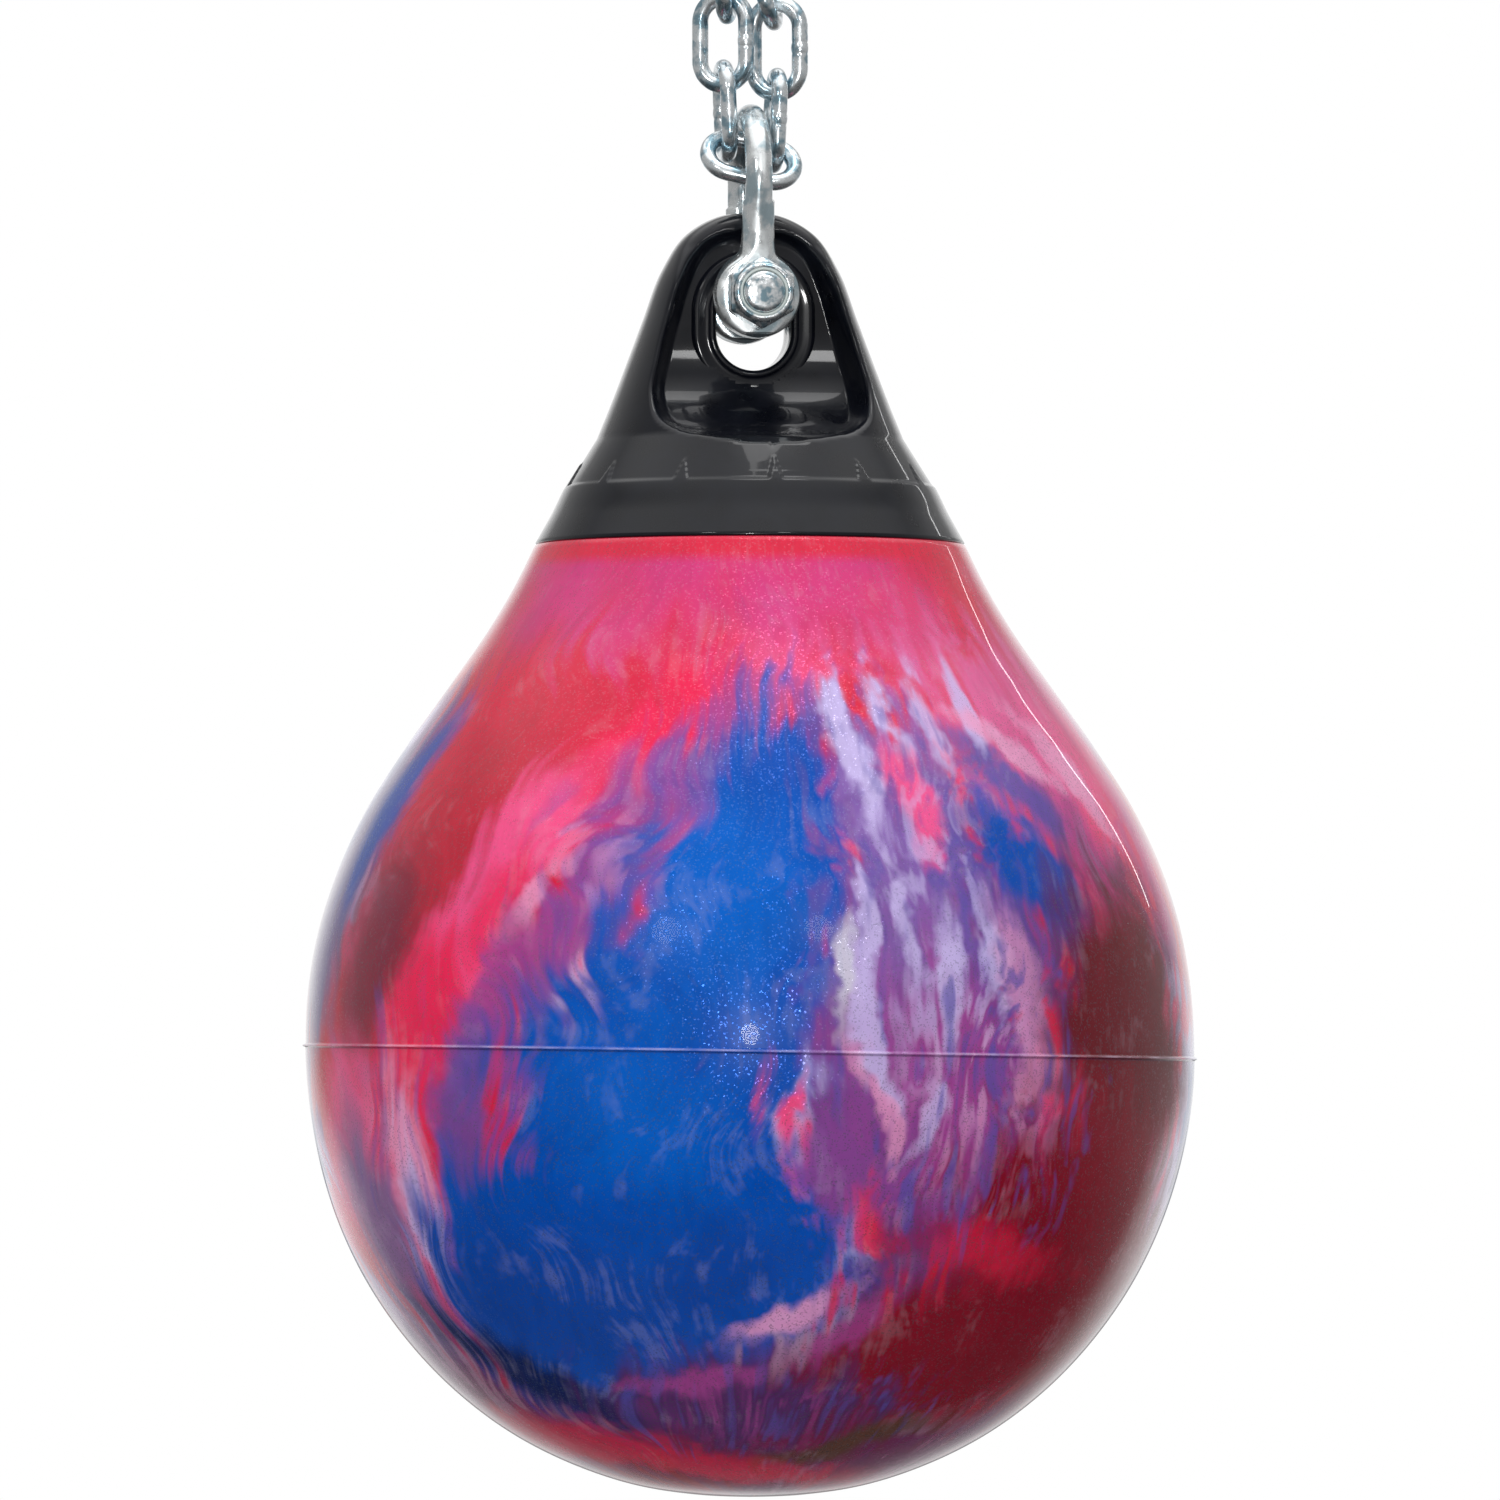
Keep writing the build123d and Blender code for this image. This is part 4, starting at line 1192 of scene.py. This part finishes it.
    def shell(self) -> np.ndarray:
        """The cap's grid: from the pole of its inside down the inner wall, round the edge, up to the crown.

        Columns go round the axis. Each row keeps the side view's half width r(z), x = r sin a, and the depth
        along Y is the half thickness from faces() with r |cos a| as the round body's depth.

        Returns:
            rows x columns x 3 grid.
        """
        inner, low = np.array(self.inside), np.array(self.skirt)
        z_skirt = np.concatenate([
            np.linspace(218.4, 240.5, 16, endpoint=False), np.linspace(240.5, 253.6, 34, endpoint=False),
            np.linspace(253.6, 262.9, 8, endpoint=False),
        ])
        skirt = np.stack([np.interp(z_skirt, low[:, 1], low[:, 0]), z_skirt], 1)
        profile = np.concatenate([inner, skirt, curve_through(self.rise, 86)])
        grid = lathe(profile, self.columns)
        x, y, z = np.moveaxis(grid, -1, 0)
        outside = (np.arange(len(profile)) >= len(inner) - 1)[:, None]
        around = np.arctan2(x, -y)
        stand = np.where(outside, self.toothed_step(around, z), 0.0)
        radius = np.maximum(np.hypot(x, y), 1e-6)
        x, y = x * (1 + stand / radius), y * (1 + stand / radius)
        depth = np.where(outside & (z > self.slab_start), self.faces(x, z, np.abs(y)), np.abs(y))
        return turned(np.stack([x, np.sign(y) * depth, z], -1))

    def collar(self) -> np.ndarray:
        """The collar's grid: a rounded, stepped section carried round the throat's slot.

        The section is given as (distance from the slot's line, depth along Y): the throat wall, a bead at its
        mouth, a shallow groove, the collar's face and its outer edge sunk into the web.

        Returns:
            rows x columns x 3 grid, closed along its rows.
        """
        half = curve_through(self.collar_section, 66)
        section = np.concatenate([half, half[::-1] * np.array([1.0, -1.0])])
        section = section[np.concatenate([[True], np.hypot(*np.diff(section, axis=0).T) > 1e-6])]
        b = ring_angles(160)
        reach, depth = section[:, :1], section[:, 1:]
        low, high = self.throat
        x = reach * np.sin(b)
        z = reach * np.cos(b) + np.where(np.cos(b) > 0, high, low)
        return turned(np.stack([x, depth + 0 * b, z], -1))

    def build(self) -> list[bpy.types.Object]:
        """Make the shell with the throat opened through it, and the collar, in place of the cap."""
        grid = self.shell()
        x, _, z = np.moveaxis(turned(grid, -FRONT_TURN), -1, 0)
        opened = (self.slot_distance(x, z) < self.opening_reach) & (z > self.opening_floor)
        shell = surface("eye_cap_shell", grid, Closing(poles=True), opened)
        collar = surface("eye_cap_collar", self.collar(), Closing(ring=True))
        for piece in (shell, collar):
            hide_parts("eye_cap")
            self.finishes.dress(piece, "black_vinyl")
            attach(piece, "bag")
        return [shell, collar]


# ---------------------------------------------------------------- the shackle
@dataclass
class Shackle:
    """The forged bow with its two ears, the bolt through them and the self-locking nut."""

    finishes: Finishes
    bow_centre: float = 373.2
    bow_radius: float = 28.0
    bow_wire: float = 5.75
    leg_wire: float = 6.6
    ear_radius: float = 18.5
    ear_inside: float = 13.5
    ear_outside: float = 27.5
    flash_proud: float = 0.32       # the forging's parting line
    flash_width: float = 0.085      # radians of the section
    flash_places: tuple[float, float] = (1.12, -1.12)
    hex_flats: float = 27.0
    hex_corner: float = 15.4
    head_height: float = 11.0
    nut_height: float = 13.0
    thread_pitch: float = 2.0
    thread_middle: float = 8.8
    thread_depth: float = 0.2

    def bow(self) -> np.ndarray:
        """The bow's grid: a round bar bent over the top, whose legs spread and flatten into the ears.

        The centre line runs up the front ear, along the leaning leg, over a half circle and down the back.
        The half width is the ear's circle blended with the leg's; the section squares off at the ears. The
        forging's parting line stands 0.3 mm proud at two places of the section.

        Returns:
            rows x columns x 3 grid.
        """
        ear_y = (self.ear_inside + self.ear_outside) / 2
        rise = self.bow_centre - PIN_HEIGHT
        reach = math.hypot(ear_y, rise)
        lean = math.asin(self.bow_radius / reach) - math.atan2(ear_y, rise)
        bend = math.pi / 2 + lean
        arc = np.linspace(-bend, bend, 61)
        over = np.stack([np.sin(arc) * self.bow_radius, self.bow_centre + np.cos(arc) * self.bow_radius], 1)
        foot = np.array([-ear_y, PIN_HEIGHT])
        down = self.ear_radius * np.cos(np.linspace(0.06, math.pi / 2, 34))
        under = np.stack([np.full(34, -ear_y), PIN_HEIGHT - down], 1)
        leg = foot + (over[0] - foot) * np.linspace(0, 1, 52)[1:-1, None]
        knee = smooth_step(0.0, 24.0, leg[:, 1] - PIN_HEIGHT)
        leg[:, 0] = -ear_y + (leg[:, 0] + ear_y) * knee
        front = np.concatenate([under, leg])
        line = np.concatenate([front, over, front[::-1] * np.array([-1.0, 1.0])])
        path = np.stack([0 * line[:, 0], line[:, 0], line[:, 1]], 1)
        above = line[:, 1] - PIN_HEIGHT
        share = np.clip(above / rise, 0, 1)
        leg_half = self.leg_wire + (self.bow_wire - self.leg_wire) * share
        ear_half = np.sqrt(np.maximum(self.ear_radius**2 - above**2, 0.0))
        flare = np.where(above > 0, self.leg_wire + 5.0 * np.clip(1 - above / 34.0, 0, 1) ** 2.2, 0.0)
        half_width = np.where(above > 0, soft_max(soft_max(ear_half, leg_half, 5.0), flare, 2.0), ear_half)
        half_width = np.where(above > 40.0, leg_half, half_width)
        ear_half_thick = (self.ear_outside - self.ear_inside) / 2
        swell = (ear_half_thick - leg_half) * smooth_step(30.0, 14.0, above)
        thick = np.where(above > 0, leg_half + swell, ear_half_thick)
        closing_in = smooth_step(-self.ear_radius - 0.5, -self.ear_radius + 2.2, above)
        thick = thick * (0.55 + 0.45 * closing_in)
        b = ring_angles(48)
        from_flash = [(b - place + math.pi) % FULL_TURN - math.pi for place in self.flash_places]
        flash = sum(self.flash_proud * np.exp(-((off / self.flash_width) ** 2)) for off in from_flash)
        radii = np.stack([half_width[:, None] + flash, thick[:, None] + flash], -1)
        flatness = 1.0 - 0.62 * smooth_step(24.0, 15.0, above)
        return turned(tube(path, np.array([1.0, 0.0, 0.0]), radii, flatness))

    def along_pin(
        self, profile: Profile | np.ndarray, hexagonal: tuple[float, float] | None = None
    ) -> np.ndarray:
        """A shape turned about the pin's axis, with one stretch of it a hexagon.

        Args:
            profile: (place along Y, radius) pairs.
            hexagonal: the stretch along Y where the radius is also held to the hexagon's flats.

        Returns:
            rows x columns x 3 grid.
        """
        p = np.array(profile, float)
        b = ring_angles(144)
        radius = p[:, 1:] + 0 * b
        if hexagonal:
            sector = (b + math.pi / 6) % (math.pi / 3) - math.pi / 6
            flats = soft_min(self.hex_flats / 2 / np.cos(sector), np.full_like(b, self.hex_corner), 0.5)
            within = (p[:, :1] >= hexagonal[0]) & (p[:, :1] <= hexagonal[1])
            radius = np.where(within, soft_min(radius, flats + 0 * radius, 0.35), radius)
        grid = np.stack([radius * np.cos(b), p[:, :1] + 0 * b, PIN_HEIGHT + radius * np.sin(b)], -1)
        return turned(grid)

    def bolt(self) -> np.ndarray:
        """The bolt's grid: chamfered threaded end at the front, shank, chamfered hexagon head at the back."""
        threads = np.arange(-45.0, -25.0, 0.25)
        wave = self.thread_depth * np.cos(FULL_TURN / self.thread_pitch * threads)
        ridges = np.stack([threads, self.thread_middle + wave], 1)
        head, top = self.ear_outside, self.ear_outside + self.head_height
        end = [(-45.9, 0.4), (-45.9, 6.2), (-45.75, 7.2), (-45.3, 8.3)]
        rest = [
            (-24.5, 9.0), (head - 0.1, 9.0), (head, 9.2), (head, 13.0), (head + 0.1, 14.2),
            (head + 0.9, 15.9), (head + 3.0, 15.9), (top - 3.0, 15.9), (top - 1.6, 15.6),
            (top - 0.7, 14.0), (top, 12.4), (top + 0.05, 11.4), (top, 4.0), (top, 0.4),
        ]
        return self.along_pin(np.concatenate([end, ridges, rest]), (head + 0.05, top - 0.05))

    def nut(self) -> np.ndarray:
        """The nut's grid: washer face, chamfered hexagon, and the round collar rolled over the ring."""
        face, end = -self.ear_outside, -self.ear_outside - self.nut_height
        rows = (
            (face - 0.05, 9.1), (face, 12.6), (face - 0.5, 12.9), (face - 0.7, 14.6), (face - 1.6, 15.9),
            (face - 4.0, 15.9), (end + 4.0, 15.9), (end + 2.0, 15.7), (end + 1.0, 14.4), (end + 0.3, 13.3),
            (end - 0.2, 12.9), (end - 2.2, 12.75), (end - 3.1, 12.5), (end - 3.8, 11.9), (end - 4.1, 11.1),
            (end - 3.9, 10.5), (end - 3.3, 10.3), (end - 1.4, 10.3), (end - 1.2, 9.15), (end + 2.0, 9.1),
            (face - 2.0, 9.1),
        )
        return self.along_pin(rows, (end + 0.25, face - 0.55))

    def ring(self) -> np.ndarray:
        """The nylon ring's grid, its face crowned and its bore pressed by the thread."""
        out = -self.ear_outside - 17.0
        rows = (
            (out + 2.6, 9.2), (out + 2.6, 10.25), (out + 0.6, 10.4), (out + 0.05, 10.1), (out - 0.1, 9.8),
            (out + 0.1, 9.35), (out + 0.6, 9.1),
        )
        return self.along_pin(rows)

    def build(self) -> list[bpy.types.Object]:
        """Make bow, bolt, nut and ring in place of their solids."""
        plan = [
            ("shackle_bow_forging", self.bow(), Closing(poles=True), "shackle_bow", "zinc_forging"),
            ("shackle_bolt_turned", self.bolt(), Closing(poles=True), "shackle_bolt", "zinc_bolt"),
            ("shackle_nut_turned", self.nut(), Closing(ring=True), "shackle_nut", "zinc_bolt"),
            ("nut_nylon_ring", self.ring(), Closing(ring=True), "nut_insert", "nylon"),
        ]
        pieces = []
        for name, grid, closing, node, slot in plan:
            piece = surface(name, grid, closing)
            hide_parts(node)
            self.finishes.dress(piece, slot)
            pieces.append(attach(piece, "shackle"))
        return pieces


# ---------------------------------------------------------------- the chain
@dataclass(frozen=True)
class LinkPlace:
    """Where a strand link hangs: its lower end, lean and turn in degrees, extra length, its body."""

    node: str
    body: str
    across: float
    height: float
    lean: float
    turn: float
    extra: float


@dataclass
class Chain:
    """Six strand links and the cross link under the bow, bent from round wire and welded mid-leg."""

    finishes: Finishes
    wire: float = 3.5
    width: float = 27.8
    length: float = 44.6
    places: tuple[LinkPlace, ...] = (
        LinkPlace("lower_link_left", "lower_links", -9.8, 385.3, -2.6, 99.0, 0.0),
        LinkPlace("lower_link_right", "lower_links", 9.8, 380.8, 2.6, 99.0, 0.9),
        LinkPlace("middle_link_left", "middle_links", -11.5, 415.3, 0.0, -18.5, 0.0),
        LinkPlace("middle_link_right", "middle_links", 11.5, 411.7, 0.0, -18.5, 0.9),
        LinkPlace("upper_link_left", "upper_links", -10.1, 444.9, 1.0, 81.0, 0.0),
        LinkPlace("upper_link_right", "upper_links", 10.2, 442.2, -13.0, 81.0, -0.5),
    )
    weld_swell: float = 0.30        # how far the weld's bead stands out of the wire
    weld_reach: float = 1.4
    unevenness: float = 0.12
    cross_leg: float = 391.2
    cross_tilt: float = math.radians(13.0)
    cross_roll: float = math.radians(51.6)
    cross_shift: float = 2.4

    def link(self, length: float, weld_side: int, seed: float) -> np.ndarray:
        """A link's grid, upright in the XZ plane around the origin.

        The centre line is a stadium: two half circles joined by straights. The wire's radius swells by
        0.3 mm in the weld half way down one leg, with a trimmed flat beside it, and wanders by 0.06 mm.

        Args:
            length: outside length, mm.
            weld_side: 1 or -1, the leg with the weld.
            seed: where in the noise this link's unevenness is read.

        Returns:
            rows x columns x 3 grid, closed along its rows.
        """
        bend, straight = self.width / 2 - self.wire, length - self.width
        arc, leg = math.pi * bend, straight
        s = np.linspace(0, 2 * (arc + leg), 220, endpoint=False)
        u = s % (arc + leg)
        turn = np.where(u < leg, 0.0, (u - leg) / bend)
        x = np.where(u < leg, bend, bend * np.cos(turn))
        z = np.where(u < leg, u - leg / 2, leg / 2 + bend * np.sin(turn))
        flip = np.where(s < arc + leg, 1.0, -1.0)
        path = np.stack([x * flip, 0 * s, z * flip], 1)
        b = ring_angles(28)
        to_weld = np.where(path[:, 0] * weld_side > bend * 0.98, np.abs(path[:, 2]), FAR_OFF)[:, None]
        lumps = 0.75 + 0.25 * np.cos(3 * b + seed)
        bead = self.weld_swell * np.exp(-((to_weld / self.weld_reach) ** 2)) * lumps
        nick = -0.16 * np.exp(-(((to_weld - 2.5) / 0.5) ** 2))
        angle = s[:, None] / bend
        uneven = lattice_noise(np.sin(angle) * 3 + seed, np.cos(angle) * 3 + seed, np.cos(b) * 2 + 5)
        radius = self.wire + bead + nick + self.unevenness * (uneven - 0.5)
        tangent = np.roll(path, -1, 0) - np.roll(path, 1, 0)
        across = np.array([0.0, 1.0, 0.0])
        side = np.cross(tangent, across)
        side /= np.linalg.norm(side, axis=1, keepdims=True)
        outwards = np.cos(b)[..., None] * across + np.sin(b)[..., None] * side[:, None]
        return path[:, None] + radius[..., None] * outwards

    def hung(self, place: LinkPlace, seed: float) -> np.ndarray:
        """A strand link's grid in place: turned about the vertical, leaned about Y, set on its lower end.

        Args:
            place: where it hangs.
            seed: its place in the noise.

        Returns:
            The placed grid.
        """
        length = self.length + place.extra
        grid = self.link(length, 1 if seed % 2 < 1 else -1, seed)
        grid[..., 2] += length / 2 - self.wire
        x, y, z = np.moveaxis(turned(grid, math.radians(place.turn)), -1, 0)
        lean = math.radians(place.lean)
        leaned_x = x * math.cos(lean) + z * math.sin(lean) + place.across
        leaned_z = z * math.cos(lean) - x * math.sin(lean) + place.height
        return np.stack([leaned_x, y, leaned_z], -1)

    def crossed(self) -> np.ndarray:
        """The cross link's grid: its length runs right and down, its width forward and down.

        Returns:
            rows x columns x 3 grid, closed along its rows.
        """
        t, r = self.cross_tilt, self.cross_roll
        length_way = np.array([math.cos(t), 0.0, -math.sin(t)])
        width_way = np.array([-math.sin(t) * math.sin(r), -math.cos(r), -math.cos(t) * math.sin(r)])
        depth_way = np.cross(length_way, width_way)
        middle = width_way * (self.width / 2 - self.wire) + length_way * self.cross_shift
        middle[2] += self.cross_leg
        x, y, z = np.moveaxis(self.link(self.length, -1, 9.3), -1, 0)
        return middle + x[..., None] * width_way + y[..., None] * depth_way + z[..., None] * length_way

    def build(self) -> list[bpy.types.Object]:
        """Make the seven links in place of their solids."""
        plan = [(p.node, p.body, self.hung(p, 2.0 + 1.37 * k)) for k, p in enumerate(self.places)]
        plan.append(("cross_link", "cross_link", self.crossed()))
        pieces = []
        for node, body, grid in plan:
            piece = surface(f"{node}_wire", grid, Closing(ring=True))
            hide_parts(node)
            self.finishes.dress(piece, "zinc_chain")
            pieces.append(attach(piece, body))
        return pieces


# ---------------------------------------------------------------- the studio
@dataclass
class Studio:
    """Pale floor, white surround, soft lights and the camera, level with the bag's widest line."""

    distance: float = 5.0
    sensor: float = 36.0
    frame_width: float = 0.64425
    frame_rise: float = 0.1297
    floor_drop: float = 1.2
    floor_radius: float = 1.4

    def camera(self) -> bpy.types.Object:
        """A long lens, level, moved up by shift alone."""
        data = bpy.data.cameras.new("front_camera")
        data.sensor_width = self.sensor
        data.lens = self.sensor * self.distance / self.frame_width
        data.shift_y = self.frame_rise / self.frame_width
        data.clip_end = 60.0
        camera = bpy.data.objects.new("front_camera", data)
        camera.location = (0.0, -self.distance, SEAM_HEIGHT)
        camera.rotation_euler = (math.pi / 2, 0.0, 0.0)
        bpy.context.scene.collection.objects.link(camera)
        bpy.context.scene.camera = camera
        return camera

    def floor(self) -> bpy.types.Object:
        """A pale disc well under the bag."""
        a = ring_angles(96)[0]
        low = np.full_like(a, SEAM_HEIGHT - self.floor_drop)
        corners = np.stack([self.floor_radius * np.cos(a), self.floor_radius * np.sin(a), low], 1)
        mesh = bpy.data.meshes.new("studio_floor")
        mesh.from_pydata(corners.tolist(), [], [list(range(len(a)))])
        floor = bpy.data.objects.new("studio_floor", mesh)
        bpy.context.scene.collection.objects.link(floor)
        material, t, shader = new_material("studio_floor", {"Roughness": 0.7})
        cloudy = t.mix(t.noise(t.place(), 3.0), (0.84, 0.84, 0.85, 1), (0.88, 0.88, 0.88, 1))
        t.feed(shader, "Base Color", cloudy)
        mesh.materials.append(material)
        floor.visible_glossy = False
        return floor

    def surround(self) -> None:
        """White where it is seen directly; as light, white behind and above, greyer in front and low down."""
        world = bpy.data.worlds.new("studio_surround")
        bpy.context.scene.world = world
        world.use_nodes = True
        world.node_tree.nodes.clear()
        t = Tree(world.node_tree)
        _, y, z = t.split(t.add("ShaderNodeTexCoord", {}).outputs["Generated"])
        path = t.add("ShaderNodeLightPath", {})
        under = t.remap(z, -0.02, -0.20)
        behind = t.remap(t.math("MULTIPLY_ADD", under, 0.16, y), 0.74, 0.98, 0.0, 1.0)
        edge = t.math("MULTIPLY", t.remap(y, 0.975, 0.992), t.remap(z, -0.015, -0.05))
        behind = t.math("MULTIPLY", behind, t.math("SUBTRACT", 1.0, edge))
        ceiling = t.remap(z, 0.45, 0.85, 0.0, 1.3)
        mirrored = t.math("MAXIMUM", t.math("MAXIMUM", behind, ceiling), 0.34)
        low = t.remap(z, -0.60, -0.05, 0.12, 1.0)
        scattered = t.remap(z, -0.9, 0.7, 0.04, 0.80)
        difference = t.math("SUBTRACT", t.math("MULTIPLY", mirrored, low), scattered)
        level = t.math("MULTIPLY_ADD", path.outputs["Is Glossy Ray"], difference, scattered)
        lit = t.add("ShaderNodeBackground", {"Color": WHITE, "Strength": level}).outputs[0]
        seen = t.add("ShaderNodeBackground", {"Color": WHITE, "Strength": 1.0}).outputs[0]
        either = t.add("ShaderNodeMixShader", {0: path.outputs["Is Camera Ray"], 1: lit, 2: seen})
        t.add("ShaderNodeOutputWorld", {"Surface": either.outputs[0]})

    def light(
        self, name: str, place: tuple[float, float, float], size: tuple[float, float], power: float,
        mirrored: bool = True,
    ) -> None:
        """A soft box aimed at the bag's middle.

        Args:
            name: the light's name.
            place: metres from the bag's widest line.
            size: width and height in metres.
            power: watts.
            mirrored: whether glossy surfaces show it.
        """
        data = bpy.data.lights.new(name, "AREA")
        data.shape = "ELLIPSE" if size[0] == size[1] else "RECTANGLE"
        data.size, data.size_y, data.energy = *size, power
        light = bpy.data.objects.new(name, data)
        light.location = (place[0], place[1], place[2] + SEAM_HEIGHT)
        aim = np.array(place) / np.linalg.norm(place)
        light.rotation_euler = (math.acos(aim[2]), 0.0, math.atan2(aim[0], -aim[1]))
        light.visible_glossy = mirrored
        bpy.context.scene.collection.objects.link(light)

    def build(self) -> None:
        """Set up camera, floor, surround and lights."""
        bpy.context.scene.view_settings.view_transform = "Standard"
        self.camera()
        self.floor()
        self.surround()
        self.light("left_box", (-2.6, -2.4, 2.6), (1.2, 1.2), 14.0, False)
        self.light("right_box", (2.4, -2.8, 2.9), (1.0, 1.0), 9.0, False)
        self.light("edge_strip", (1.8, 2.0, 1.33), (0.03, 1.5), 0.9)
        self.light("top_box", (0.25, -0.35, 2.1), (0.9, 0.6), 6.0)
        self.light("left_lamp", (-1.5, -3.6, 1.9), (0.55, 0.55), 13.0)
        self.light("right_lamp", (1.3, -3.8, 2.0), (0.55, 0.55), 14.0)
        self.light("lens_lamp", (0.0, -5.0, 0.20), (0.4, 0.4), 44.0)


def make_finishes(effects: Effects) -> Finishes:
    """Build every material once.

    Args:
        effects: the shared node groups.

    Returns:
        The finishes by slot.
    """
    plastics = [
        MouldedPlastic(
            effects, "black_vinyl", base=(8, 10, 17), pale=(20, 23, 34), roughness=0.26, shine=0.16,
            coat=0.38, ripple=1400.0, relief=0.00003, marks=0.05,
        ),
        MouldedPlastic(
            effects, "valve_plastic", base=(24, 24, 27), pale=(38, 38, 42), roughness=0.42, shine=0.4,
            coat=0.02, ripple=2600.0, relief=0.0001, marks=0.30,
        ),
        MouldedPlastic(
            effects, "seal_rubber", base=(18, 18, 19), pale=(32, 32, 33), roughness=0.62, shine=0.3,
            coat=0.0, ripple=3200.0, relief=0.0001, marks=0.20,
        ),
        MouldedPlastic(
            effects, "nylon", base=(196, 206, 203), pale=(222, 230, 228), roughness=0.34, shine=0.5,
            coat=0.1, ripple=2400.0, relief=0.00008, marks=0.15,
        ),
    ]
    metals = [
        # bright colour, tint, scale of the patches, bloom, relief in metres
        ZincPlate(effects, "zinc_forging", (236, 240, 241), (158, 184, 194), 110.0, 0.7, 0.00008),
        ZincPlate(effects, "zinc_bolt", (240, 244, 246), (92, 148, 168), 260.0, 0.4, 0.00004),
        ZincPlate(effects, "zinc_chain", (236, 242, 245), (96, 148, 168), 150.0, 0.3, 0.00005),
        ZincPlate(effects, "zinc_hook", (230, 236, 240), (140, 170, 184), 220.0, 0.4, 0.00005),
        ZincPlate(effects, "spring_steel", (150, 152, 156), (96, 100, 108), 500.0, 0.1, 0.00006),
    ]
    materials = {f.name: f.make() for f in plastics + metals}
    materials["marbled_vinyl"] = MarbledVinyl(effects, STROKES, LICKS).make()
    materials["water"] = Water(effects).make()
    return Finishes(materials)


def main() -> None:
    """Build the studio, the finishes and each sub-assembly in order, and report every piece."""
    logging.basicConfig(level=logging.INFO, format="%(name)s: %(message)s")
    Studio().build()
    finishes = make_finishes(Effects())
    finishes.dress_nodes()
    LOG.info("dressed %d carried-over nodes", len(frame["nodes"]))
    pieces = [Bag(finishes).build()]
    for assembly in (EyeCap(finishes), Shackle(finishes), Chain(finishes)):
        pieces.extend(assembly.build())
    for piece in pieces:
        LOG.info("built %s with %d faces", piece.name, len(piece.data.polygons))


if __name__ == "__main__":
    main()
